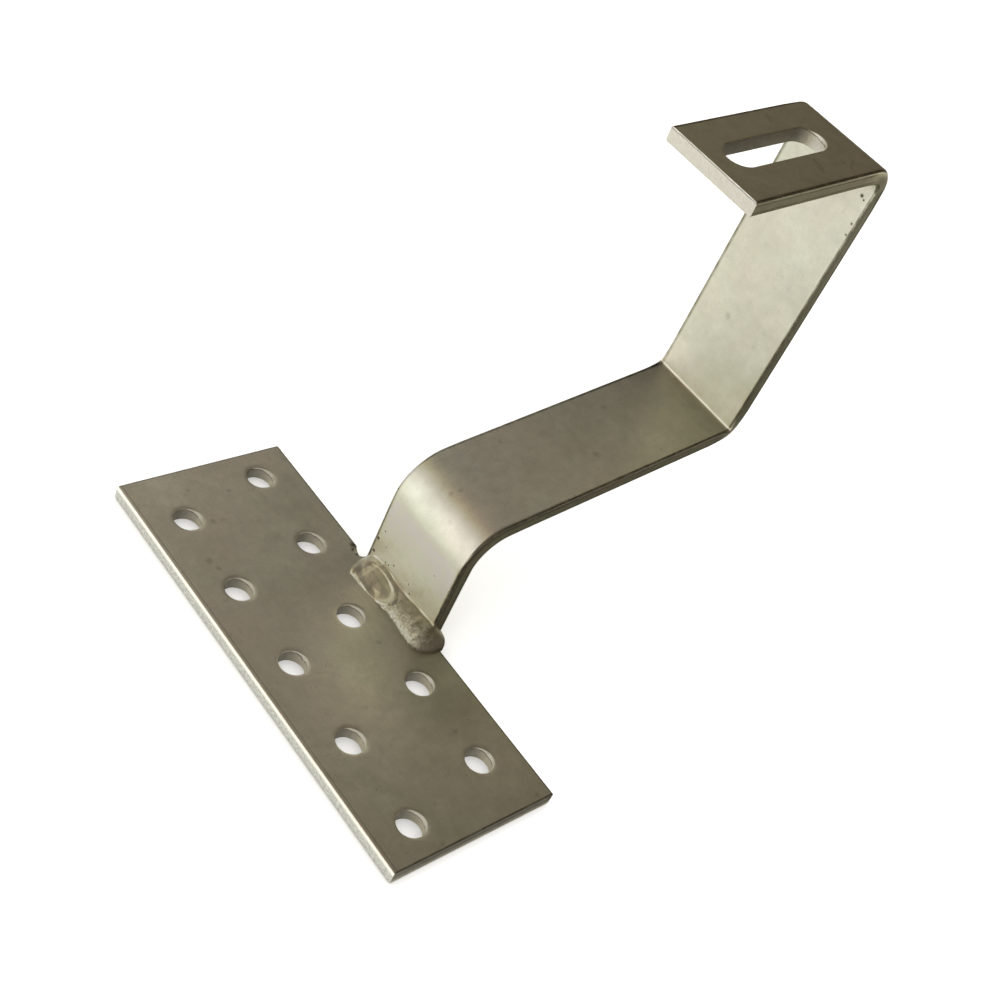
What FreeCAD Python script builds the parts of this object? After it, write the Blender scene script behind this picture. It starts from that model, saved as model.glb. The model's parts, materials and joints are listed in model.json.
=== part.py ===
# Solar roof hook: a base plate that is screwed to a rafter, a flat bar bent three times that
# carries an array's rail over the tiles, and the weld that joins the two.
#
# Millimetres, +Z up. The origin is the centre of the plate's underside, where the hook lies on
# the rafter. +X is the hook's reach: the bar stands on the plate's edge at +X and runs out over
# the tile below. +Y runs along the plate's length.
import FreeCAD
import Part

import math
import os

import Sketcher

# alias, value, what it measures
DIMENSIONS = [
    ("plate_length", 150.0, "base plate along Y"),
    ("plate_width", 60.0, "base plate along X"),
    ("plate_thickness", 5.0, "base plate along Z"),
    ("hole_diameter", 9.0, "clearance for an 8 mm wood screw"),
    ("hole_pitch", 30.0, "hole to hole along both rows"),
    ("row_inset", 14.0, "row of holes to the plate's long edge"),
    ("row_stagger", 4.2, "each row's shift from the plate's centre, one towards -Y, one towards +Y"),
    ("weld_clearance", 5.0, "how far the hole next to the weld is moved in"),
    ("bar_width", 35.0, "hook bar along Y"),
    ("bar_thickness", 5.0, "hook bar's section"),
    ("bar_offset", 5.5, "bar's centre line from the plate's centre, along Y"),
    ("edge_rounding", 0.8, "rolled edges of both flat bars"),
    ("foot_straight", 33.7, "foot, from its end to the first bend"),
    ("arm_straight", 91.0, "arm between the first and second bends"),
    ("riser_straight", 92.5, "riser between the second and third bends"),
    ("flange_straight", 53.7, "flange, from the third bend to its free end"),
    ("arm_slope", 8.5, "degrees, the arm rises away from the foot"),
    ("flange_slope", 4.5, "degrees, the flange falls towards its free end"),
    ("foot_bend", 11.0, "inside radius of the first bend"),
    ("arm_bend", 2.0, "inside radius of the second bend, a sharp crease"),
    ("flange_bend", 4.0, "inside radius of the third bend"),
    ("slot_length", 40.0, "rail slot, end to end"),
    ("slot_width", 11.0, "rail slot, clearance for a 10 mm bolt"),
    ("slot_setback", 26.7, "slot's centre from the flange's free end"),
    ("slot_shift", 1.0, "slot's centre from the bar's centre line"),
    ("weld_plate_leg", 8.5, "weld's reach over the plate"),
    ("weld_bar_leg", 4.5, "weld's height up the bar above the plate"),
    ("weld_crown", 0.9, "how far the weld's face stands proud of a straight line"),
    ("weld_ripple", 0.1, "share by which the weld swells and narrows along its run"),
    ("weld_ripple_length", 26.0, "one swelling of the weld to the next"),
    ("weld_ripple_peak", 16.0, "where along Y the weld is widest"),
    ("weld_wrap", 4.6, "weld's reach along the bar's narrow sides"),
    ("weld_near_overrun", 6.0, "weld past the bar's side towards -Y"),
    ("weld_far_overrun", 1.6, "weld past the bar's side towards +Y"),
    ("weld_sag", 0.4, "how far the weld's ends sink below the plate's top behind the edge"),
    ("seam_bevel", 2.0, "bevel on the plate's lower edge, filled by the weld's flush seam"),
    ("seam_overrun", 1.5, "bevel past each side of the bar"),
    ("notch_x", 30.9, "centre of the ball-shaped notch, melted out of the plate's top edge"),
    ("notch_y", 25.4, "the notch's centre along Y, just past the end of the weld"),
    ("notch_z", 6.4, "the notch's centre above the plate's underside"),
    ("notch_radius", 3.7, "the notch's radius"),
]

# how the weld's loft is sliced
SLICES_ALONG_BAR = 10
END_SHARES = [0.35, 0.65, 0.85, 0.97]  # of an overrun, from the bar's side outwards
ROOT_OVERLAP = 1.0  # mm that a slice runs into the plate, before the plate is cut out of it

doc = FreeCAD.newDocument("SolarRoofHook")
sheet = doc.addObject("Spreadsheet::Sheet", "Dimensions")
for row, (alias, value, note) in enumerate(DIMENSIONS, start=1):
    sheet.set(f"A{row}", alias)
    sheet.set(f"B{row}", str(value))
    sheet.set(f"C{row}", note)
    sheet.setAlias(f"B{row}", alias)
doc.recompute()


def size(alias):
    """A driving dimension, as a number."""
    return float(getattr(sheet, alias))


# Document helpers ---------------------------------------------------------------------------

def new_body(label):
    """An empty body whose label names its file."""
    body = doc.addObject("PartDesign::Body", label)
    body.Label = label
    return body


def new_sketch(body, name, plane):
    """A sketch on one of the body's own origin planes."""
    support = next(part for part in body.Origin.OriginFeatures if part.Role == plane)
    sketch = body.newObject("Sketcher::SketchObject", name)
    sketch.AttachmentSupport = (support, "")
    sketch.MapMode = "FlatFace"
    return sketch


def measure(sketch, name, kind, where, value, formula):
    """A named dimension, held to a formula of the sheet's cells."""
    index = sketch.addConstraint(Sketcher.Constraint(kind, *where, value))
    sketch.renameConstraint(index, name)
    sketch.setExpression(f"Constraints.{name}", formula)


def tie(sketch, kind, *where):
    """A geometric constraint with no size."""
    sketch.addConstraint(Sketcher.Constraint(kind, *where))


def point(x, y, z=0.0):
    return FreeCAD.Vector(x, y, z)


def recompute_cut(pocket, uncut):
    """Builds a pocket and stops if it points away from the solid."""
    doc.recompute()
    if pocket.Shape.Volume > uncut.Shape.Volume - 1.0:
        raise RuntimeError(pocket.Label + " cuts nothing")


# Base plate ---------------------------------------------------------------------------------

def draw_plate_outline(sketch):
    """A rectangle centred on the origin."""
    x = size("plate_width") / 2
    y = size("plate_length") / 2
    corners = [point(-x, -y), point(x, -y), point(x, y), point(-x, y)]
    for i in range(4):
        sketch.addGeometry(Part.LineSegment(corners[i], corners[(i + 1) % 4]), False)
    for i in range(4):
        tie(sketch, "Coincident", i, 2, (i + 1) % 4, 1)
    tie(sketch, "Horizontal", 0)
    tie(sketch, "Horizontal", 2)
    tie(sketch, "Vertical", 1)
    tie(sketch, "Vertical", 3)
    tie(sketch, "Symmetric", 0, 1, 1, 2, -1, 1)
    measure(sketch, "width", "DistanceX", (0, 1, 0, 2), 2 * x, "Dimensions.plate_width")
    measure(sketch, "length", "DistanceY", (1, 1, 1, 2), 2 * y, "Dimensions.plate_length")


def hole_places():
    """Name and centre formulas of the ten screw holes: two rows of five, staggered."""
    outer_row = "-(Dimensions.plate_width / 2 - Dimensions.row_inset)"
    bar_row = "Dimensions.plate_width / 2 - Dimensions.row_inset"
    for step in range(-2, 3):
        along = f"{step} * Dimensions.hole_pitch"
        yield f"outer{step + 3}", outer_row, f"{along} - Dimensions.row_stagger"
        inset = " - Dimensions.weld_clearance" if step == 0 else ""
        yield f"bar{step + 3}", bar_row + inset, f"{along} + Dimensions.row_stagger"


def draw_holes(sketch):
    """Ten equal circles; the one beside the weld is moved in to clear it."""
    row_x = size("plate_width") / 2 - size("row_inset")
    for i, (name, across, along) in enumerate(hole_places()):
        step = i // 2 - 2
        side = 1 if name.startswith("bar") else -1
        x = side * row_x - (size("weld_clearance") if name == "bar3" else 0)
        y = step * size("hole_pitch") + side * size("row_stagger")
        circle = Part.Circle(point(x, y), point(0, 0, 1), size("hole_diameter") / 2)
        sketch.addGeometry(circle, False)
        measure(sketch, name + "_x", "DistanceX", (-1, 1, i, 3), x, across)
        measure(sketch, name + "_y", "DistanceY", (-1, 1, i, 3), y, along)
        if i:
            tie(sketch, "Equal", 0, i)
    measure(sketch, "bore", "Diameter", (0,), size("hole_diameter"), "Dimensions.hole_diameter")


def long_edges(shape):
    """The plate's rolled edges: those that run its whole length."""
    names = []
    for i, edge in enumerate(shape.Edges, start=1):
        along = abs(edge.Vertexes[0].Y - edge.Vertexes[-1].Y)
        if along > size("plate_length") - 0.01:
            names.append(f"Edge{i}")
    return names


def draw_bevel(sketch):
    """A triangle at the plate's lower edge, on the side where the bar stands."""
    x = size("plate_width") / 2
    bevel = size("seam_bevel")
    corners = [point(x - bevel, 0), point(x, 0), point(x, bevel)]
    for i in range(3):
        sketch.addGeometry(Part.LineSegment(corners[i], corners[(i + 1) % 3]), False)
    for i in range(3):
        tie(sketch, "Coincident", i, 2, (i + 1) % 3, 1)
    tie(sketch, "PointOnObject", 0, 1, -1)
    tie(sketch, "Horizontal", 0)
    tie(sketch, "Vertical", 1)
    measure(sketch, "edge", "DistanceX", (-1, 1, 0, 2), x, "Dimensions.plate_width / 2")
    measure(sketch, "bevel_x", "DistanceX", (0, 1, 0, 2), bevel, "Dimensions.seam_bevel")
    measure(sketch, "bevel_z", "DistanceY", (1, 1, 1, 2), bevel, "Dimensions.seam_bevel")


def build_plate():
    body = new_body("base_plate")

    outline = new_sketch(body, "PlateOutline", "XY_Plane")
    draw_plate_outline(outline)
    slab = body.newObject("PartDesign::Pad", "PlateSlab")
    slab.Profile = outline
    slab.setExpression("Length", "Dimensions.plate_thickness")
    doc.recompute()

    rolled = body.newObject("PartDesign::Fillet", "RolledEdges")
    rolled.Base = (slab, long_edges(slab.Shape))
    rolled.setExpression("Radius", "Dimensions.edge_rounding")
    doc.recompute()

    # the sketch's normal is -Y, so a shift towards +Y is a negative offset
    bevel = new_sketch(body, "SeamBevel", "XZ_Plane")
    bevel.setExpression("AttachmentOffset.Base.z", "-Dimensions.bar_offset")
    draw_bevel(bevel)
    groove = body.newObject("PartDesign::Pocket", "SeamGroove")
    groove.Profile = bevel
    groove.Midplane = True
    groove.setExpression("Length", "Dimensions.bar_width + 2 * Dimensions.seam_overrun")
    recompute_cut(groove, rolled)

    notch = body.newObject("PartDesign::SubtractiveSphere", "MeltNotch")
    notch.AttachmentSupport = (outline.AttachmentSupport[0][0], "")
    notch.MapMode = "FlatFace"
    for axis in "xyz":
        notch.setExpression(f"AttachmentOffset.Base.{axis}", f"Dimensions.notch_{axis}")
    notch.setExpression("Radius", "Dimensions.notch_radius")
    recompute_cut(notch, groove)

    layout = new_sketch(body, "HoleLayout", "XY_Plane")
    layout.setExpression("AttachmentOffset.Base.z", "Dimensions.plate_thickness")
    draw_holes(layout)
    holes = body.newObject("PartDesign::Pocket", "ScrewHoles")
    holes.Profile = layout
    holes.Type = "ThroughAll"
    recompute_cut(holes, notch)
    body.Tip = holes
    return body, notch


# Hook bar -----------------------------------------------------------------------------------

def draw_section(sketch):
    """The bar's section at its foot: a flat rectangle with rounded corners."""
    half_t = size("bar_thickness") / 2
    half_w = size("bar_width") / 2
    r = size("edge_rounding")
    cx = size("plate_width") / 2 + half_t
    cy = size("bar_offset")
    turns = [(1, 1), (-1, 1), (-1, -1), (1, -1)]
    centres = [point(cx + sx * (half_t - r), cy + sy * (half_w - r)) for sx, sy in turns]
    for i, centre in enumerate(centres):
        circle = Part.Circle(centre, point(0, 0, 1), r)
        start = math.radians(90 * i)
        sketch.addGeometry(Part.ArcOfCircle(circle, start, start + math.pi / 2), False)
    for i in range(4):
        arc = sketch.Geometry[i]
        following = sketch.Geometry[(i + 1) % 4]
        sketch.addGeometry(Part.LineSegment(arc.EndPoint, following.StartPoint), False)
    for i in range(4):
        tie(sketch, "Tangent", i, 2, 4 + i, 1)
        tie(sketch, "Tangent", 4 + i, 2, (i + 1) % 4, 1)
        if i:
            tie(sketch, "Equal", 0, i)
    for side in (4, 6):
        tie(sketch, "Horizontal", side)
        tie(sketch, "Vertical", side + 1)
    measure(sketch, "corner", "Radius", (0,), r, "Dimensions.edge_rounding")
    measure(sketch, "thick", "DistanceX", (5, 1, 7, 2), 2 * half_t, "Dimensions.bar_thickness")
    measure(sketch, "wide", "DistanceY", (6, 1, 4, 1), 2 * half_w, "Dimensions.bar_width")
    measure(sketch, "face_x", "DistanceX", (-1, 1, 5, 1), cx - half_t, "Dimensions.plate_width / 2")
    measure(sketch, "side_y", "DistanceY", (6, 1, -1, 1), half_w - cy,
            "Dimensions.bar_width / 2 - Dimensions.bar_offset")


def add_arc(sketch, start, heading, turn, radius):
    """An arc that leaves start along heading and turns by turn, both in degrees.

    Returns its end and the point numbers of its first and last ends, because a sketch stores
    every arc anticlockwise.
    """
    side = 1 if turn > 0 else -1
    to_centre = math.radians(heading + 90 * side)
    centre = start + point(radius * math.cos(to_centre), radius * math.sin(to_centre))
    first = math.radians(heading - 90 * side)
    last = first + math.radians(turn)
    end = centre + point(radius * math.cos(last), radius * math.sin(last))
    circle = Part.Circle(centre, point(0, 0, 1), radius)
    sketch.addGeometry(Part.ArcOfCircle(circle, min(first, last), max(first, last)), False)
    ends = (1, 2) if turn > 0 else (2, 1)
    return end, ends


def draw_route(sketch):
    """The line up the middle of the bar: foot, arm, riser and flange, joined by three bends."""
    arm = size("arm_slope")
    flange = 180 + size("flange_slope")
    runs = [("foot", 90), ("arm", arm), ("riser", 90), ("flange", flange)]
    bends = ["foot_bend", "arm_bend", "flange_bend"]
    half_t = size("bar_thickness") / 2
    place = point(size("plate_width") / 2 + half_t, 0)
    joints = []
    for i, (name, heading) in enumerate(runs):
        turned = math.radians(heading)
        reach = size(name + "_straight")
        end = place + point(reach * math.cos(turned), reach * math.sin(turned))
        # the flange is drawn from its free end, so that its slope is a small positive angle
        ends = (end, place) if name == "flange" else (place, end)
        sketch.addGeometry(Part.LineSegment(*ends), False)
        place = end
        if i < len(bends):
            turn = runs[i + 1][1] - heading
            place, arc_ends = add_arc(sketch, place, heading, turn, size(bends[i]) + half_t)
            joints.append(arc_ends)
    for i, (first, last) in enumerate(joints):
        line, arc, following = 2 * i, 2 * i + 1, 2 * i + 2
        tie(sketch, "Tangent", line, 2, arc, first)
        near_end = 2 if i == len(joints) - 1 else 1
        tie(sketch, "Tangent", arc, last, following, near_end)
        measure(sketch, bends[i], "Radius", (arc,), size(bends[i]) + half_t,
                f"Dimensions.{bends[i]} + Dimensions.bar_thickness / 2")
    for i, (name, heading) in enumerate(runs):
        measure(sketch, name, "Distance", (2 * i, 1, 2 * i, 2), size(name + "_straight"),
                f"Dimensions.{name}_straight")
    tie(sketch, "Vertical", 0)
    tie(sketch, "Vertical", 4)
    measure(sketch, "arm_tilt", "Angle", (2,), math.radians(arm), "Dimensions.arm_slope * 1 deg")
    measure(sketch, "flange_tilt", "Angle", (6,), math.radians(size("flange_slope")),
            "Dimensions.flange_slope * 1 deg")
    tie(sketch, "PointOnObject", 0, 1, -1)
    measure(sketch, "foot_x", "DistanceX", (-1, 1, 0, 1), size("plate_width") / 2 + half_t,
            "Dimensions.plate_width / 2 + Dimensions.bar_thickness / 2")
    # where the free end comes to lie, read by the slot's sketch
    for name, kind, value in (("end_x", "DistanceX", place.x), ("end_z", "DistanceY", place.y)):
        index = sketch.addConstraint(Sketcher.Constraint(kind, -1, 1, 6, 1, value))
        sketch.setDriving(index, False)
        sketch.renameConstraint(index, name)


def draw_slot(sketch):
    """A slot with round ends, measured from the flange's free end."""
    r = size("slot_width") / 2
    half = size("slot_length") / 2 - r
    cx = size("slot_setback")
    cy = size("slot_shift")
    left = Part.Circle(point(cx - half, cy), point(0, 0, 1), r)
    right = Part.Circle(point(cx + half, cy), point(0, 0, 1), r)
    sketch.addGeometry(Part.ArcOfCircle(left, math.pi / 2, 3 * math.pi / 2), False)
    sketch.addGeometry(Part.ArcOfCircle(right, -math.pi / 2, math.pi / 2), False)
    sketch.addGeometry(Part.LineSegment(point(cx - half, cy - r), point(cx + half, cy - r)), False)
    sketch.addGeometry(Part.LineSegment(point(cx + half, cy + r), point(cx - half, cy + r)), False)
    tie(sketch, "Tangent", 0, 2, 2, 1)
    tie(sketch, "Tangent", 2, 2, 1, 1)
    tie(sketch, "Tangent", 1, 2, 3, 1)
    tie(sketch, "Tangent", 3, 2, 0, 1)
    tie(sketch, "Horizontal", 2)
    tie(sketch, "Equal", 0, 1)
    measure(sketch, "end_radius", "Radius", (0,), r, "Dimensions.slot_width / 2")
    measure(sketch, "centres", "DistanceX", (0, 3, 1, 3), 2 * half,
            "Dimensions.slot_length - Dimensions.slot_width")
    measure(sketch, "setback", "DistanceX", (-1, 1, 0, 3), cx - half,
            "Dimensions.slot_setback - (Dimensions.slot_length - Dimensions.slot_width) / 2")
    measure(sketch, "shift", "DistanceY", (-1, 1, 0, 3), cy, "Dimensions.slot_shift")


def build_bar():
    body = new_body("hook_bar")

    section = new_sketch(body, "BarSection", "XY_Plane")
    draw_section(section)
    route = new_sketch(body, "BarRoute", "XZ_Plane")
    route.setExpression("AttachmentOffset.Base.z", "-Dimensions.bar_offset")
    draw_route(route)
    doc.recompute()
    bar = body.newObject("PartDesign::AdditivePipe", "BentBar")
    bar.Profile = section
    bar.Spine = route
    doc.recompute()

    # the slot's sketch lies half way through the flange, turned to its slope
    slot = new_sketch(body, "RailSlot", "XY_Plane")
    slot.AttachmentOffset = FreeCAD.Placement(point(0, 0), FreeCAD.Rotation(point(0, -1), 1))
    slot.setExpression("AttachmentOffset.Base.x", "BarRoute.Constraints.end_x")
    slot.setExpression("AttachmentOffset.Base.y", "Dimensions.bar_offset")
    slot.setExpression("AttachmentOffset.Base.z", "BarRoute.Constraints.end_z")
    slot.setExpression("AttachmentOffset.Rotation.Angle", "Dimensions.flange_slope * 1 deg")
    draw_slot(slot)
    opening = body.newObject("PartDesign::Pocket", "SlotThroughFlange")
    opening.Profile = slot
    opening.Midplane = True
    opening.setExpression("Length", "2 * Dimensions.bar_thickness")
    recompute_cut(opening, bar)
    body.Tip = opening
    return body


# Weld at the foot ---------------------------------------------------------------------------

def weld_stations():
    """Places along Y, with the share of the weld's full size at each.

    The size falls to nothing past each side of the bar as a quarter of an ellipse does.
    """
    near_side = size("bar_offset") - size("bar_width") / 2
    far_side = size("bar_offset") + size("bar_width") / 2
    stations = []
    for share in reversed(END_SHARES):
        stations.append((near_side - share * size("weld_near_overrun"), math.sqrt(1 - share ** 2)))
    for i in range(SLICES_ALONG_BAR + 1):
        y = near_side + size("bar_width") * i / SLICES_ALONG_BAR
        stations.append((y, 1.0))
    for share in END_SHARES:
        stations.append((far_side + share * size("weld_far_overrun"), math.sqrt(1 - share ** 2)))
    return stations


def weld_section(y, share):
    """One slice of the weld, drawn deep enough into plate and bar to be cut back by both."""
    edge = size("plate_width") / 2
    top = size("plate_thickness")
    phase = 2 * math.pi * (y - size("weld_ripple_peak")) / size("weld_ripple_length")
    swell = 1 + size("weld_ripple") * math.cos(phase)
    plate_leg = size("weld_plate_leg") * swell * share
    bar_leg = size("weld_bar_leg") * swell * share
    wrap = size("weld_wrap") * share
    rooted = size("seam_bevel") + ROOT_OVERLAP
    toe = point(edge - plate_leg, y, top)
    crest = point(edge, y, top + bar_leg)
    chord = math.hypot(plate_leg, bar_leg)
    crown = size("weld_crown") * share
    middle = (toe + crest) * 0.5 + point(-bar_leg, 0, plate_leg) * (crown / chord)
    behind = point(edge + wrap, y, top - (1 - share) * size("weld_sag"))
    corners = [
        crest,
        behind,
        point(edge + wrap, y, 0),
        point(edge - rooted, y, 0),
        point(edge - rooted, y, top - ROOT_OVERLAP),
        point(edge - plate_leg, y, top - ROOT_OVERLAP),
        toe,
    ]
    face = Part.Arc(toe, middle, crest).toShape()
    sides = [Part.LineSegment(a, b).toShape() for a, b in zip(corners[:-1], corners[1:])]
    return Part.Wire([face] + sides)


def build_weld(plate, notch, bar):
    """Weld metal round the bar's foot: what is left of the slices outside plate, notch and bar."""
    wires = [weld_section(y, share) for y, share in weld_stations()]
    bead = Part.makeLoft(wires, True, True)
    bead = bead.cut(plate.Shape).cut(notch.AddSubShape).cut(bar.Shape)
    feature = doc.addObject("Part::Feature", "foot_weld")
    feature.Label = "foot_weld"
    feature.Shape = max(bead.Solids, key=lambda solid: solid.Volume)
    return feature


# Build, check and write ---------------------------------------------------------------------

plate, notch = build_plate()
bar = build_bar()
doc.recompute()
weld = build_weld(plate, notch, bar)
doc.recompute()

for item in doc.Objects:
    if "Invalid" in item.State or "Error" in item.State:
        raise RuntimeError(f"{item.Label} did not build: {item.State}")
    if item.isDerivedFrom("Sketcher::SketchObject") and not item.FullyConstrained:
        raise RuntimeError(f"{item.Label} has a size that nothing sets")

os.makedirs("parts", exist_ok=True)
for item in (plate, bar, weld):
    shape = item.Shape
    if shape.isNull() or not shape.isValid() or len(shape.Solids) != 1:
        raise RuntimeError(item.Label + " is not one valid solid")
    shape.exportStep(f"parts/{item.Label}.step")
    box = shape.BoundBox
    print(f"{item.Label}: {shape.Volume / 1000:.2f} cm3, "
          f"x {box.XMin:.2f} to {box.XMax:.2f}, y {box.YMin:.2f} to {box.YMax:.2f}, "
          f"z {box.ZMin:.2f} to {box.ZMax:.2f}")
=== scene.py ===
# %% [markdown]
# # A stainless roof hook
#
# Roofers screw this hook to a rafter and clamp a solar array's rail into its slot. It is three pieces of
# steel: a punched base plate, one flat bar bent three times, and the weld that joins them. The packed
# model already holds the true sizes, so this lesson reads them from it and models each piece again with
# the small forms that the light shows: rolled edges, punched rims, bends that bulge and a lumpy weld.

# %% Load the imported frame
import json
import math

import bmesh
import bpy
from mathutils import Matrix, Vector


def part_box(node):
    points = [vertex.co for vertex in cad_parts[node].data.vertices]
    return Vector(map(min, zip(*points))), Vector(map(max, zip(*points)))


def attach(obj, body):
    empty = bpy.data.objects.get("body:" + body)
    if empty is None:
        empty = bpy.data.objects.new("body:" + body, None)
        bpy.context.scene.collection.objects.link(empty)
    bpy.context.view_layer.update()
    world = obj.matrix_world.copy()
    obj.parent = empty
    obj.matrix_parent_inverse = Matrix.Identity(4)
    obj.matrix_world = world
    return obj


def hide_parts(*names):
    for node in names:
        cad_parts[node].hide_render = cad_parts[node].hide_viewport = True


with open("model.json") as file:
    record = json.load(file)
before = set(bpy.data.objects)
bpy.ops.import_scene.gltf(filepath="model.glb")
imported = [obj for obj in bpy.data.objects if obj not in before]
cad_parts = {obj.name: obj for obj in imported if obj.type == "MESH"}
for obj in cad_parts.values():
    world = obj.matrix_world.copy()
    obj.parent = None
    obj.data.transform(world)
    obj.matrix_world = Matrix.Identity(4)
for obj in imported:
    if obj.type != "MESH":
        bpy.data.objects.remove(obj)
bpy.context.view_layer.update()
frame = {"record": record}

MM = 0.001
CLOSE = MM / 10  # nearer than this counts as touching

# %% [markdown]
# ## Working by hand, in code
#
# Every tool in edit mode acts on what is selected. These helpers select one object, or just the faces,
# edges or vertices that pass a test of their place, so that a step reads as it would be done by hand.

# %% Helpers for selecting
def only(*pieces):
    """Select just these objects and make the first one active."""
    bpy.ops.object.select_all(action="DESELECT")
    for piece in pieces:
        piece.select_set(True)
    bpy.context.view_layer.objects.active = pieces[0]


def pick(kind, test):
    """In edit mode, select just the VERT, EDGE or FACE items that pass the test."""
    mesh = bmesh.from_edit_mesh(bpy.context.edit_object.data)
    bpy.ops.mesh.select_mode(type=kind)
    bpy.ops.mesh.select_all(action="DESELECT")
    items = {"VERT": mesh.verts, "EDGE": mesh.edges, "FACE": mesh.faces}[kind]
    found = [item for item in items if test(item)]
    for item in found:
        item.select_set(True)
    bmesh.update_edit_mesh(bpy.context.edit_object.data)
    return len(found)


def middle_of(edge):
    return (edge.verts[0].co + edge.verts[1].co) / 2


def edit():
    bpy.ops.object.mode_set(mode="EDIT")


def leave_edit():
    bpy.ops.object.mode_set(mode="OBJECT")


# %% Helpers for modifiers and for finishing a piece
def apply_modifier(piece, kind, **settings):
    """Add one modifier, set it up and apply it."""
    only(piece)
    modifier = piece.modifiers.new(kind.title(), kind)
    for name, value in settings.items():
        setattr(modifier, name, value)
    bpy.ops.object.modifier_apply(modifier=modifier.name)


def cut(piece, cutter):
    """Cut one object out of another and throw the cutter away."""
    apply_modifier(piece, "BOOLEAN", operation="DIFFERENCE", solver="MANIFOLD", object=cutter)
    bpy.data.objects.remove(cutter)


def place_in_mesh(piece):
    """Leave the object at the origin, unturned and unscaled, with its place in its mesh."""
    only(piece)
    bpy.ops.object.transform_apply(location=True, rotation=True, scale=True)


def smooth_rolled_steel(piece):
    """Shade soft edges smooth, and let the large flat faces set the normals beside them."""
    only(piece)
    bpy.ops.object.shade_smooth_by_angle(angle=math.radians(32))
    apply_modifier(piece, "WEIGHTED_NORMAL", keep_sharp=True, weight=80)


def point_outwards(piece):
    """Recalculate every face's normal to the outside."""
    only(piece)
    edit()
    bpy.ops.mesh.select_all(action="SELECT")
    bpy.ops.mesh.normals_make_consistent(inside=False)
    leave_edit()


def stand_for(piece, node):
    """Hand a finished piece over to the frame."""
    place_in_mesh(piece)
    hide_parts(node)
    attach(piece, "root")
    print(piece.name, "has", len(piece.data.polygons), "faces")


# %% [markdown]
# ## Sizes
#
# Both steel pieces are cut from 5 mm flat bar. The plate's box, the bar's box and the record's mounts
# give nearly everything. Only the bends' radii, the arm's slope and two lengths are added here.

# %% Sizes from the frame
plate_low, plate_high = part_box("base_plate")
bar_low, bar_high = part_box("hook_bar")
mounts = {mount["name"]: mount for mount in frame["record"]["mounts"]}

SHEET = plate_high.z - plate_low.z
ROLLED_EDGE = 0.8 * MM
HOLE_RADIUS = mounts["inner_hole"]["dims"]["r_mm"] * MM
flange_up = Vector(mounts["rail_seat"]["axis"])
FLANGE_SLOPE = math.atan2(-flange_up.x, flange_up.z)
ARM_SLOPE = math.radians(8.5)
FOOT_LENGTH = 33.7 * MM
FLANGE_LENGTH = 53.7 * MM
BAR_MIDDLE = (bar_low.y + bar_high.y) / 2
BAR_WIDTH = bar_high.y - bar_low.y
print("sheet", round(SHEET / MM, 2), "mm, bar", round(BAR_WIDTH / MM, 1), "mm wide, flange falls",
      round(math.degrees(FLANGE_SLOPE), 1), "degrees")

# %% [markdown]
# ## The base plate
#
# The plate is sheared to length from hot-rolled flat bar, so its two long edges keep the mill's rounding
# and its two ends are cut square with a small lip. A cube of the plate's size gets both by bevelling
# edges that are picked by their direction.

# %% A slab with rolled edges and sheared ends
SHEARED_LIP = 0.25 * MM

bpy.ops.mesh.primitive_cube_add(size=1, location=(plate_low + plate_high) / 2, scale=plate_high - plate_low)
plate = bpy.context.object
plate.name = "punched_base_plate"
place_in_mesh(plate)


def runs_along_plate(edge):
    a, b = (vert.co for vert in edge.verts)
    return abs(a.y - b.y) > 10 * MM and abs(abs(a.x) - plate_high.x) < CLOSE


def rims_an_end(edge):
    a, b = (vert.co for vert in edge.verts)
    return min(abs(a.y), abs(b.y)) > plate_high.y - CLOSE


edit()
pick("EDGE", runs_along_plate)
bpy.ops.mesh.bevel(offset=ROLLED_EDGE, segments=5, affect="EDGES")
print("end rim edges", pick("EDGE", rims_an_end))
bpy.ops.mesh.bevel(offset=SHEARED_LIP, segments=2, affect="EDGES")
leave_edit()

# %% [markdown]
# ### Punched holes
#
# A punch first drags the sheet's skin down round it, then shears a clean band, and then the slug tears
# off a little wider than the punch. So each hole has a wide, shallow dish, a small round edge, a straight
# band and a flared lower half. One cutter gets that profile by extruding and scaling a cylinder's caps,
# and is made again at each place where the record has a screw hole.

# %% Where the holes are
def screw_holes():
    """The centres of the plate's holes, from the record's bolt patterns and bores."""
    for mount in mounts.values():
        centre = Vector(mount["pos_m"])
        if mount["kind"] == "bolt_pattern":
            half_pitch = Vector((0, mount["dims"]["spacing_y_mm"] * MM / 2, 0))
            yield centre - half_pitch
            yield centre + half_pitch
        elif mount["kind"] == "bore":
            yield centre


# %% One punch, with the profile that it leaves
DISH = [
    # depth below the plate's top and distance out from the hole's wall, from the wall outwards
    (0.24 * MM, 0.05 * MM),
    (0.17 * MM, 0.16 * MM),
    (0.12 * MM, 0.34 * MM),
    (0.07 * MM, 0.65 * MM),
    (0.03 * MM, 1.05 * MM),
    (-0.01 * MM, 1.7 * MM),
]
DISH_FLOOR = 0.32 * MM
BURNISHED_BAND = 1.7 * MM
TORN_STEP = 0.3 * MM
TORN_FLARE = 1.04


def pull_cap(rise, radius_ratio, centre):
    """Extrude the selected cap along Z and scale its new rim."""
    bpy.ops.mesh.extrude_region_move(TRANSFORM_OT_translate={"value": (0, 0, rise)})
    bpy.ops.transform.resize(value=(radius_ratio, radius_ratio, 1), center_override=centre)


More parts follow.
